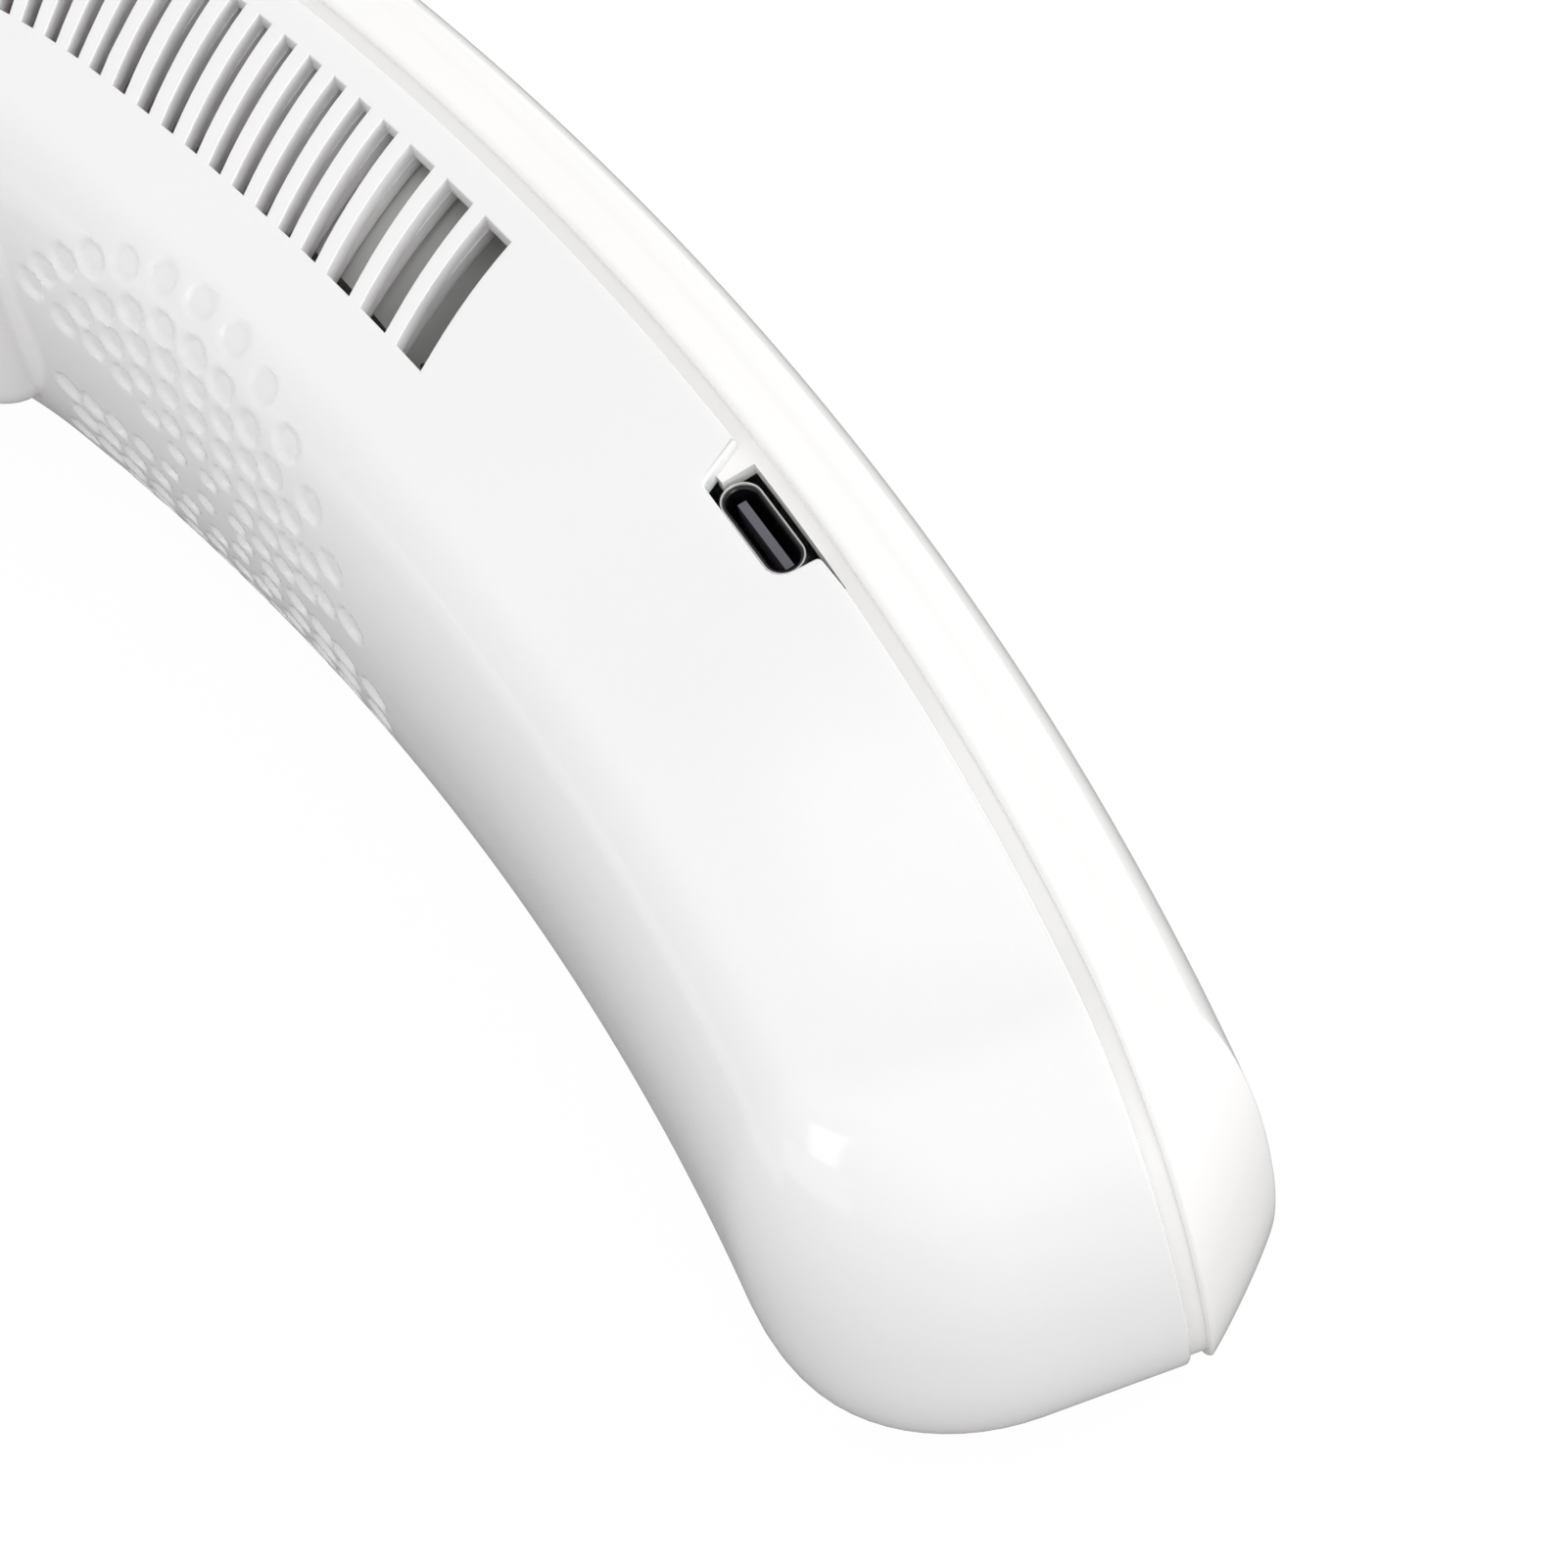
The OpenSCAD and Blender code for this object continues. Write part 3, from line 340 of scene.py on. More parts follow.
def moulded_plastic(name, pale, dark, roughness, index, ripple_mm, depth_mm, glow_through=0.0):
    """Moulded plastic: a faint tone drift, gloss that varies a little, and a fine ripple."""
    material = blank_material(name)
    spot = add(material, "TexCoord").outputs["Object"]
    drift = add(material, "TexNoise", [("Vector", spot)], Scale=1 / (DRIFT_MM * TO_METRES), Detail=2.0)
    tone = add(material, "ValToRGB", [("Fac", drift.outputs["Fac"])])
    tone.color_ramp.elements[0].position, tone.color_ramp.elements[1].position = 0.3, 0.7
    tone.color_ramp.elements[0].color, tone.color_ramp.elements[1].color = linear(dark), linear(pale)
    rub = add(material, "TexNoise", [("Vector", spot)], Scale=1 / (RUB_MM * TO_METRES), Detail=3.0)
    gloss = add(material, "MapRange", [("Value", rub.outputs["Fac"])])
    gloss.inputs["To Min"].default_value = roughness * (1 - GLOSS_SPREAD)
    gloss.inputs["To Max"].default_value = roughness * (1 + GLOSS_SPREAD)
    ripple = add(material, "TexNoise", [("Vector", spot)], Scale=1 / (ripple_mm * TO_METRES),
                 Detail=1.0)
    bump = add(material, "Bump", [("Height", ripple.outputs["Fac"])], Strength=0.5,
               Distance=depth_mm * TO_METRES)
    skin = add(material, "BsdfPrincipled", [("Base Color", tone.outputs["Color"]),
                                            ("Roughness", gloss.outputs["Result"]),
                                            ("Normal", bump.outputs["Normal"])], IOR=index)
    if glow_through:
        skin.inputs["Subsurface Weight"].default_value = glow_through
        skin.inputs["Subsurface Radius"].default_value = (1.0, 0.8, 0.85)
        skin.inputs["Subsurface Scale"].default_value = GLOW_DEPTH_MM * TO_METRES
    add(material, "OutputMaterial", [("Surface", skin.outputs[0])])
    return material


# ABS straight from a polished tool: bright, with a faint orange peel that softens reflections.
body_abs = moulded_plastic("white_abs_polished_mould", "#F5F5F5", "#F2F2F2", 0.1, 1.53, 1.6, 0.0006,
                           0.35)

SLOT_COUNT, SLOT_START, SLOT_GAP, SLOT_RIB = 30, 87.1, 1.4, 1.48
WIDE_GAPS = [3.25, 3.2, 2.9, 1.75]
SLOT_INNER, SLOT_OUTER, SLOT_LEAD, SLOT_BOW = -14.3, -2.8, 4.9, 0.45
SLOT_ROUND = 0.14
RIB_DEPTH, RIB_OVERLAP, RIB_SINK = 2.84, 0.6, 0.02
slot_widths = WIDE_GAPS + [SLOT_GAP] * (SLOT_COUNT - len(WIDE_GAPS))
slot_stations = [SLOT_START + sum(slot_widths[:k]) + SLOT_RIB * k for k in range(SLOT_COUNT)]

# The slots' own walls: the same plastic, thin enough for light to warm it from inside through
# subsurface scattering. Their base colour is a brighter, pinker copy of the body's white: painted warm
# glow for that light.
rib_abs_painted_glow = moulded_plastic("white_abs_ribs_painted_warm_glow", "#FBF4F8", "#F8F1F5", 0.2, 1.53, 1.6, 0.0006, 0.7)


def slot_edge(station, inner=SLOT_INNER, outer=SLOT_OUTER):
    u = np.linspace(0, 1, 8)
    return place(station + SLOT_LEAD * u + 4 * SLOT_BOW * u * (1 - u), inner + (outer - inner) * u)


def slot_loop(k):
    near, far = slot_edge(slot_stations[k]), slot_edge(slot_stations[k] + slot_widths[k])
    return np.concatenate([near, far[::-1]])


def slot_grown(loop, amount):
    """The slot's outline moved outward, kept square at its corners."""
    normal = plan_normals(loop, True)
    centre = loop.mean(0)
    outward = np.sign(((loop - centre) * normal).sum(1).mean())
    ahead = np.roll(loop, -1, 0) - loop
    behind = loop - np.roll(loop, 1, 0)
    lengths = np.linalg.norm(ahead, axis=1) * np.linalg.norm(behind, axis=1)
    cosine = (ahead * behind).sum(1) / lengths
    stretch = 1 / np.sqrt(np.maximum((1 + cosine) / 2, 0.2))
    return loop + normal * (outward * amount * stretch)[:, None]


DOT_RINGS = [
    # ring, first and last angle of the upper fan, growth of its steps, dots above and below, size
    (20.9, 28.0, 163.4, 0.255, 13, 16, 1.62), (17.1, 30.0, 163.0, 0.0, 12, 15, 1.55),
    (14.2, 37.5, 164.4, 0.0, 10, 13, 1.45), (11.2, 44.0, 165.0, 0.0, 8, 10, 1.32),
    (7.9, 50.0, 164.0, 0.0, 6, 8, 1.2), (4.6, 58.0, 160.0, 0.0, 3, 5, 1.05),
    (0.0, 0.0, 0.0, 0.0, 1, 0, 1.0),
]
LOWER_FAN = (-6.0, -174.0)
DOT_STATION, DOT_DEPTH, DOT_FLOOR, DOT_LIMIT = 103.8, 0.37, 0.64, 18.6
BEZEL_BALL, BEZEL_SINK, BEZEL_FROM, BEZEL_TO, BEZEL_CORE = 5.0, 1.5, 136.8, 169.0, 7.0
BEZEL_FOOT, BEZEL_FOOT_START = 1.2, 0.25
NECK_SHARE = (NAPE_RADIUS - BODY_DEPTH) / NAPE_RADIUS


def smooth_step(u):
    u = np.clip(u, 0, 1)
    return u * u * (3 - 2 * u)


def neck_relief(station, around):
    """Height in mm that the dimples and the pad's bezel add to the neck side."""
    relief = np.zeros_like(station)
    across = (station - DOT_STATION) * (FRONT_RADIUS - BODY_DEPTH) / FRONT_RADIUS
    for ring, start, stop, growth, above, below, radius in DOT_RINGS:
        share = np.linspace(0, 1, above)
        fan = start + (stop - start) * ((1 - growth) * share + growth * share ** 2)
        for angle in np.radians(np.concatenate([fan, np.linspace(*LOWER_FAN, below)])):
            if ring * math.cos(angle) > DOT_LIMIT:
                continue
            away = np.hypot(across - ring * math.cos(angle),
                            around - ring * math.sin(angle)) / radius
            relief -= DOT_DEPTH * (1 - smooth_step((away - DOT_FLOOR) / (1 - DOT_FLOOR)))
    beyond = np.hypot(np.maximum(0, np.maximum(BEZEL_FROM - station, station - BEZEL_TO)) * NECK_SHARE,
                      np.maximum(0, np.abs(around) - BEZEL_CORE))
    ball = np.sqrt(np.maximum(0, BEZEL_BALL ** 2 - np.minimum(beyond, BEZEL_BALL) ** 2))
    bulge = ball - BEZEL_SINK
    foot = smooth_step(bulge / BEZEL_FOOT + BEZEL_FOOT_START)
    return relief + np.where(bulge > 0, bulge * foot, 0)


LEVEL_COUNT, LEAD_STEPS, TURN_STEPS = 150, 4, 17
# First and last station and step of each strip: finest across the dimples, then the bezel.
NECK_STRIPS = [(18, 76, 2.0), (76, 131, 0.34), (131, 179, 0.6), (179, 189.5, 1.5)]
CORE_STRIP = (18, 189, 6.0)
body_levels, body_around = even_levels(LEVEL_COUNT)
neck_stations = np.concatenate([np.arange(*strip) for strip in NECK_STRIPS] + [[NAPE_START]])
core_stations = np.concatenate([np.arange(*CORE_STRIP), [NAPE_START]])


def body_rows(inset, seam, stations, levels):
    """Stations and offsets of the body's skin, one row for each level, from the seam to the nape."""
    station_rows, offset_rows = [], []
    turn = np.radians(np.linspace(0, 90, TURN_STEPS))
    for level in levels:
        fall = 1 - float(swell(level))
        end = float(tip_end(level, inset))
        middle = TIP_CORNER - BODY_DEPTH
        across = TIP_CORNER - inset - (SHOULDER - inset) * fall
        along = TIP_CORNER - end
        lead = np.linspace(seam, middle, LEAD_STEPS + 1)[:-1]
        side = (SHOULDER - inset) * fall - (BODY_DEPTH - inset)
        station_rows.append(np.concatenate(
            [np.full(LEAD_STEPS, end), TIP_CORNER - along * np.cos(turn), stations]))
        offset_rows.append(np.concatenate(
            [lead, middle - across * np.sin(turn), np.full(len(stations), side)]))
    return np.array(station_rows), np.array(offset_rows)


def skin_points(station_rows, offset_rows, levels, inset):
    plan = place(station_rows, offset_rows)
    z = np.broadcast_to(height_at(levels, inset)[:, None], plan.shape[:2])
    return np.concatenate([plan, z[..., None]], -1)


# The notch that bares the receptacle, as stations and offsets, and its inner corners' radii.
PORT_NOTCH = [(67.1, 0.0), (67.0, -0.05), (65.2, -3.85), (55.2, -3.85), (55.1, -0.2), (52.1, 0.0)]
PORT_ROUNDS = [0.15, 0.45, 1.7, 0.5]
NOTCH_ROOM = 0.5
seam_stations = np.concatenate(
    [np.arange(NAPE_START, END_DEPTH + 3.5, -2.0), [17.0, 16.0, END_DEPTH]])


def seam_path(notched):
    """Plan points along the seam edge of the upper face, from the nape to the tip."""
    if not notched:
        return place(seam_stations, 0.0)
    notch = rounded(PORT_NOTCH, PORT_ROUNDS)
    behind = seam_stations[seam_stations > PORT_NOTCH[0][0] + NOTCH_ROOM]
    ahead = seam_stations[seam_stations < PORT_NOTCH[-1][0] - NOTCH_ROOM]
    return np.concatenate([place(behind, 0.0), place(notch[:, 0], notch[:, 1]), place(ahead, 0.0)])


# A column of the skin on the bezel's stretch, where its normals are plainly in or out.
NORMAL_PROBE = -40


def body_parts(notched):
    station_rows, offset_rows = body_rows(0.0, -EDGE_ROUND, neck_stations, body_levels)
    points = skin_points(station_rows, offset_rows, body_levels, 0.0)
    normal = np.cross(np.gradient(points, axis=1), np.gradient(points, axis=0))
    normal /= np.maximum(np.linalg.norm(normal, axis=-1), 1e-9)[..., None]
    to_neck = (place(neck_stations[NORMAL_PROBE], -BODY_DEPTH - 1)
               - place(neck_stations[NORMAL_PROBE], -BODY_DEPTH))
    inward = np.sign((normal[LEVEL_COUNT // 2, NORMAL_PROBE] * np.append(to_neck, 0)).sum())
    around = np.broadcast_to(-body_around[:, None], station_rows.shape)
    relief = neck_relief(station_rows, around)
    relief[:, :LEAD_STEPS + TURN_STEPS + 1] = 0.0
    points = points + normal * (inward * relief)[..., None]

    core_s, core_o = body_rows(WALL, 0.0, core_stations, body_levels)
    core = skin_points(core_s, core_o, body_levels, WALL)
    parts = [sheet(points), sheet(core)]

    paths = {1: seam_path(notched), -1: seam_path(False)}
    holes = [slot_loop(k) for k in range(SLOT_COUNT)]
    rims = [(-back, drop) for back, drop in edge_arc(EDGE_ROUND)] + [(0.0, WALL)]
    ends = [station_axes(NAPE_START)[0], station_axes(END_DEPTH)[0]]
    rim_rows = []
    for outward, drop in rims:
        line = {}
        for sign, seam in paths.items():
            normals = plan_normals(seam, False)
            normals = normals * np.sign((normals[0] * ends[0]).sum())
            normals[0], normals[-1] = ends
            line[sign] = at_height(seam + normals * outward, MIDDLE + sign * (MIDDLE - drop))
        tip = at_height(place(tip_end(body_levels, drop), outward), height_at(body_levels, drop))
        rim_rows.append(np.concatenate([line[1], tip[1:-1], line[-1][::-1]]))
    rim_points = np.array(rim_rows)
    parts.append(sheet(rim_points))

    slot_rims = edge_arc(SLOT_ROUND) + [(0.0, WALL)]
    for sign, seam in paths.items():
        count = len(seam)
        outer_line = (rim_points[0, :count] if sign == 1 else rim_points[0, -count:][::-1])[:, :2]
        inner_line = (rim_points[-1, :count] if sign == 1 else rim_points[-1, -count:][::-1])[:, :2]
        row = 0 if sign == 1 else LEVEL_COUNT - 1
        for z, line, ring, grow in (
                (MIDDLE + sign * MIDDLE, outer_line, points[row, :, :2], SLOT_ROUND),
                (MIDDLE + sign * (MIDDLE - WALL), inner_line, core[row, :, :2], 0.0)):
            outline = np.concatenate([line, ring[1:]])
            parts.append(flat_face(outline, [slot_grown(h, grow) if grow else h for h in holes], z))
        parts += [closed_rows([at_height(slot_grown(hole, grow), MIDDLE + sign * (MIDDLE - drop))
                               for grow, drop in slot_rims]) for hole in holes]
    return parts


def rib_fins():
    """Deeper backs of the ribs, seen between the slots."""
    parts = []
    reach = (SLOT_INNER - RIB_OVERLAP, SLOT_OUTER + RIB_OVERLAP)
    for sign in (1, -1):
        for k in range(SLOT_COUNT - 1):
            near = slot_edge(slot_stations[k] + slot_widths[k], *reach)
            far = slot_edge(slot_stations[k + 1], *reach)
            loops = [at_height(np.concatenate([near, far[::-1]]), MIDDLE + sign * (MIDDLE - drop))
                     for drop in (WALL - RIB_SINK, RIB_DEPTH)]
            parts += [closed_rows(loops)] + [lid(loop) for loop in loops]
    return parts


for side in ("right", "left"):
    shell = make_piece(side + "_body_skin", body_parts(side == "right"), body_abs, "housing",
                       side == "left")
    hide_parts(side + "_body_shell")
    fins = make_piece(side + "_slot_ribs", rib_fins(), rib_abs_painted_glow, "housing", side == "left",
                      fill=False)


# Outer covers of the arms
# A second moulding in glossier white ABS wraps the outer side. Its rim stands 1.3 mm off the
# body, so a reveal groove follows the seam round the tip, and a lip behind closes that groove.
cover_abs = moulded_plastic("white_abs_high_gloss", "#FBFBFA", "#F9F9F8", 0.07, 1.53, 2.4, 0.0004)
CREASE_OFFSET, CREASE_DROP, RIM_FLAT = 4.2, 0.9, 0.55
COVER_INSET, LEAST_CORNER = CREASE_DROP + WALL, 1.0
COVER_LEVELS, CREASE_STEPS, COVER_TURN, COVER_LEAD = 110, 8, 15, 5
LIP_INSET, LIP_TIP_INSET, LIP_THICK, LIP_REACH = 0.95, 0.5, 1.2, 2.5
LIP_BLEND, LIP_TIP_REACH = 0.4, 0.1
cover_stations = np.concatenate([np.arange(19, 188, 3.0), [NAPE_START]])


def cover_profile():
    """Offset, level and end-corner share of the cover's section, from the upper rim to the lower."""
    flat = GROOVE + RIM_FLAT
    upper = [(GROOVE + EDGE_ROUND, 1.0, 0.0), (flat, 1.0, 0.0)]
    crease_level = 1 - CREASE_DROP / MIDDLE
    for level in np.linspace(1, crease_level, CREASE_STEPS)[1:-1]:
        share = (1 - level) / (1 - crease_level)
        upper.append((flat + (CREASE_OFFSET - flat) * share, level, 0.0))
    side = []
    for level in even_levels(COVER_LEVELS)[0]:
        wide = float(swell(level))
        side.append((CREASE_OFFSET + (COVER_LARGEST - CREASE_OFFSET) * wide, crease_level * level,
                     wide))
    return upper + side + [(o, -level, w) for o, level, w in upper[::-1]]


def cover_lining():
    """The same for the inside of the section, a wall's thickness in."""
    lining = []
    for _, level, _ in cover_profile():
        wide = float(swell(level))
        lining.append((CREASE_OFFSET - WALL + (COVER_LARGEST - CREASE_OFFSET) * wide, level, wide))
    return [(GROOVE, 1.0, 0.0)] + lining + [(GROOVE, -1.0, 0.0)]


def cover_skin(profile, rim, inset):
    """Stations, offsets and levels of a skin that turns in to the rim round the tip."""
    rows_s, rows_o = [], []
    turn = np.radians(np.linspace(90, 0, COVER_TURN))
    ahead, aside = np.sin(turn) ** (2 / COVER_POWER), np.abs(np.cos(turn)) ** (2 / COVER_POWER)
    for offset, level, wide in profile:
        end = float(tip_end(level, inset))
        along = LEAST_CORNER + (COVER_CORNER - LEAST_CORNER) * wide
        lead = np.linspace(end + along, cover_stations[0], COVER_LEAD + 2)[1:-1]
        rows_s.append(np.concatenate([end + along * (1 - ahead), lead, cover_stations]))
        rows_o.append(np.concatenate([rim + (offset - rim) * aside,
                                      np.full(COVER_LEAD + len(cover_stations), offset)]))
    return np.array(rows_s), np.array(rows_o), np.array([level for _, level, _ in profile])


def cover_parts():
    s, o, levels = cover_skin(cover_profile(), GROOVE + EDGE_ROUND, 0.0)
    parts = [sheet(skin_points(s, o, levels, 0.0))]
    parts.append(sheet(skin_points(*cover_skin(cover_lining(), GROOVE, COVER_INSET), COVER_INSET)))
    rim_stations, levels = s[0][::-1], levels[1:-1]
    rows = []
    for outward, drop in edge_arc(EDGE_ROUND) + [(0.0, COVER_INSET)]:
        rim = GROOVE + outward
        rows.append(np.concatenate([
            at_height(place(rim_stations, rim), HEIGHT - drop),
            at_height(place(tip_end(levels, drop), rim), height_at(levels, drop)),
            at_height(place(rim_stations[::-1], rim), drop)]))
    return parts + [sheet(rows)]


def lip_section(inner):
    """Offsets and insets of the lip's four edges."""
    return [(inner, LIP_INSET), (GROOVE + WALL, LIP_INSET),
            (GROOVE + WALL, LIP_INSET + LIP_THICK), (inner, LIP_INSET + LIP_THICK)]


def lip_parts(stretches):
    """Band behind the groove: each stretch is a rectangle led along stations, some round the tip."""
    parts = []
    rise = smooth_step((1 - np.abs(body_levels)) / LIP_BLEND)
    for inner, upper, around_tip, lower in stretches:
        edges = []
        for offset, inset in lip_section(inner):
            pieces = [at_height(place(upper, offset), HEIGHT - inset)]
            if around_tip:
                depth = inset - (LIP_INSET - LIP_TIP_INSET) * rise
                reach = offset - max(0.0, offset - GROOVE - LIP_TIP_REACH) * rise
                pieces.append(at_height(place(tip_end(body_levels, depth), reach),
                                        height_at(body_levels, depth)))
                pieces.append(at_height(place(lower, offset), inset))
            edges.append(np.concatenate(pieces))
        parts.append(sheet(edges + edges[:1]))
    return parts


FAN_STATION, GRILLE_HOLE_RADIUS = 104.0, 14.15
BOARD_STATION, BUTTON_ALONG, BUTTON_HEIGHT = 62.0, 6.0, 16.5
BUTTON_HOLE_RADIUS, LAMP_STATIONS, LAMP_HOLE_RADIUS = 4.35, [76.5, 79.7, 82.9, 86.1], 0.95
DRILL_OFFSET, DRILL_DEPTH, DRILL_SIDES = 8.0, 12, 64


def hole_at(station, along, height_mm, radius, flip=1):
    """A hole square to the arm: its centre, its axis and its radius."""
    outward, forward = station_axes(station)
    spot = place(station, DRILL_OFFSET) + forward * along
    return (flip * spot[0], spot[1], height_mm), (flip * outward[0], outward[1], 0), radius


def drill(piece, holes):
    """Cuts round holes through a closed piece."""
    for spot, axis, radius in holes:
        mesh = bpy.data.meshes.new("drill")
        made = bmesh.new()
        bmesh.ops.create_cone(made, cap_ends=True, segments=DRILL_SIDES, radius1=radius,
                              radius2=radius, depth=DRILL_DEPTH)
        turn = Vector((0, 0, 1)).rotation_difference(Vector(axis)).to_matrix().to_4x4()
        bmesh.ops.transform(made, matrix=Matrix.Scale(TO_METRES, 4) @ Matrix.Translation(spot) @ turn,
                            verts=made.verts)
        made.to_mesh(mesh)
        made.free()
        cutter = bpy.data.objects.new("drill", mesh)
        bpy.context.scene.collection.objects.link(cutter)
        cut = piece.modifiers.new("hole", "BOOLEAN")
        cut.operation, cut.solver, cut.object = "DIFFERENCE", "EXACT", cutter
        piece.modifiers.move(len(piece.modifiers) - 1, 0)
        piece.data = bpy.data.meshes.new_from_object(
            piece.evaluated_get(bpy.context.evaluated_depsgraph_get()))
        piece.modifiers.remove(piece.modifiers["hole"])
        bpy.data.objects.remove(cutter)
    piece.data.name = piece.name
    piece.data.set_sharp_from_angle(angle=math.radians(SMOOTH_ANGLE))


# Stations of the lip. Beside the receptacle it is narrow, and past it the steps begin again.
LIP_END, LIP_STEP, LIP_NARROW = NAPE_START - 0.15, 2.5, 0.2
PORT_BEHIND, PORT_AHEAD, PORT_PAST = 65.1, 52.2, 50
down_to_tip = np.concatenate([np.arange(LIP_END, END_DEPTH + 2, -LIP_STEP), [END_DEPTH]])
behind = np.concatenate([np.arange(LIP_END, PORT_BEHIND + 1, -LIP_STEP), [PORT_BEHIND]])
beside = np.linspace(PORT_BEHIND, PORT_AHEAD, 6)
ahead = np.concatenate([[PORT_AHEAD], np.arange(PORT_PAST, END_DEPTH + 2, -LIP_STEP), [END_DEPTH]])
lip_stretches = {
    "right": [(-LIP_REACH, behind, False, None), (LIP_NARROW, beside, False, None),
              (-LIP_REACH, ahead, True, down_to_tip[::-1])],
    "left": [(-LIP_REACH, down_to_tip, True, down_to_tip[::-1])],
}
cover_holes = {
    "right": [hole_at(FAN_STATION, 0.0, MIDDLE, GRILLE_HOLE_RADIUS),
              hole_at(BOARD_STATION, BUTTON_ALONG, BUTTON_HEIGHT, BUTTON_HOLE_RADIUS)]
             + [hole_at(station, 0.0, BUTTON_HEIGHT, LAMP_HOLE_RADIUS) for station in LAMP_STATIONS],
    "left": [hole_at(FAN_STATION, 0.0, MIDDLE, GRILLE_HOLE_RADIUS, -1)],
}
for side in ("right", "left"):
    cover = make_piece(side + "_cover_skin", cover_parts(), cover_abs, "housing", side == "left")
    drill(cover, cover_holes[side])
    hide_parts(side + "_outer_cover")
    lip = make_piece(side + "_groove_lip", lip_parts(lip_stretches[side]), cover_abs, "housing",
                     side == "left")


# Shell and cover of the nape
# The middle of the collar is moulded like the arms: its shell and cover butt against them with
# a 0.3 mm joint, and sleeves behind the joint plug into both arms.
NAPE_JOINT, SLEEVE_INSET, SLEEVE_THICK, SLEEVE_EDGE = 0.3, 1.9, 1.2, -2.8
SLEEVE_FROM, SLEEVE_TO = 185.0, 193.0
HOOP_LEVELS, BRIDGE_STEPS, SLEEVE_STEPS = 61, 97, 7


def swept(section, start, stop, steps):
    """Closed section of (offset, height) points carried round the nape between two angles."""
    section = np.array(section)
    reach = NAPE_RADIUS + section[:, 0]
    points, faces = closed_rows([
        np.stack([nape_centre[0] + reach * math.cos(angle), nape_centre[1] + reach * math.sin(angle),
                  section[:, 1]], 1) for angle in np.linspace(start, stop, steps)])
    caps = tessellate_polygon([[Vector((p[0], p[1], 0)) for p in section]])
    for first in (0, (steps - 1) * (len(section) + 1)):
        faces += [tuple(first + i for i in t) for t in caps]
    return points, faces


def hoop(outer_inset, inner_inset, edge, rim):
    """C-shaped section between two insets, open at the seam."""
    outer, inner = [[((SHOULDER - inset) * (1 - float(swell(v))) - (BODY_DEPTH - inset),
                      float(height_at(v, inset))) for v in even_levels(HOOP_LEVELS)[0]]
                    for inset in (outer_inset, inner_inset)]
    arc = edge_arc(rim)[::-1] if rim else [(0.0, 0.0)]
    top = [(edge - back, HEIGHT - outer_inset - drop) for back, drop in arc]
    low = [(o, HEIGHT - z) for o, z in top[::-1]]
    return [(edge, HEIGHT - inner_inset)] + top + outer + low + [(edge, inner_inset)] + inner[::-1]


joint_angle = float(seam_angle(NAPE_START + NAPE_JOINT))
bridge = (joint_angle, math.pi - joint_angle, BRIDGE_STEPS)
nape_parts = [swept(hoop(0.0, WALL, 0.0, EDGE_ROUND), *bridge)]
sleeve = hoop(SLEEVE_INSET, SLEEVE_INSET + SLEEVE_THICK, SLEEVE_EDGE, 0.0)
first, last = float(seam_angle(SLEEVE_FROM)), float(seam_angle(SLEEVE_TO))
nape_parts += [swept(sleeve, first, last, SLEEVE_STEPS),
               swept(sleeve, math.pi - last, math.pi - first, SLEEVE_STEPS)]
nape_shell = make_piece("nape_body_skin", nape_parts, body_abs, "housing", fill=False)
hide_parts("nape_body_shell")

profile = [(o, MIDDLE + MIDDLE * v) for o, v, _ in cover_profile()]
lining = [(o, float(height_at(v, COVER_INSET))) for o, v, _ in cover_lining()]
rim_top = [(GROOVE + back, HEIGHT - drop) for back, drop in edge_arc(EDGE_ROUND)[::-1]]
rim_low = [(o, HEIGHT - z) for o, z in rim_top[::-1]]
cover_section = lining[:1] + rim_top + profile[1:-1] + rim_low + lining[:0:-1]
band = lip_section(-LIP_REACH)
nape_cover = make_piece("nape_cover_skin",
                        [swept(cover_section, *bridge), swept(band, *bridge),
                         swept([(o, HEIGHT - z) for o, z in band], *bridge)],
                        cover_abs, "housing", fill=False)
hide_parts("nape_outer_cover")


# Intake grilles
# Round moulded plates in the outer side of each arm, in front of the fans. Each has 37 drilled
# holes with softened rims and a tube behind that carries it on the fan's scroll.
GRILLE_RADIUS, GRILLE_FACE, GRILLE_THICK, GRILLE_BACK = 14.0, 8.2, 1.5, 4.1
GRILLE_HOLE, GRILLE_PITCH, GRILLE_RINGS, HOLE_ROUND = 1.1, 3.6, 3, 0.3
GRILLE_SIDES, HOLE_SIDES = 96, 28


def circle(radius, count, x=0.0, y=0.0):
    turn = np.linspace(0, 2 * math.pi, count, endpoint=False)
    return np.stack([x + radius * np.cos(turn), y + radius * np.sin(turn)], 1)


def facing_out(parts, station, along, height_mm):
    """Turns parts from plan, with their depth outward, to stand on the arm at a station."""
    out, forward = (np.append(axis, 0.0) for axis in station_axes(station))
    origin = np.append(place(station, 0.0), height_mm) + forward * along
    up = np.array([0, 0, 1.0])
    return [(origin + p[:, 1:2] * forward + p[:, 2:3] * out - p[:, 0:1] * up, f) for p, f in parts]


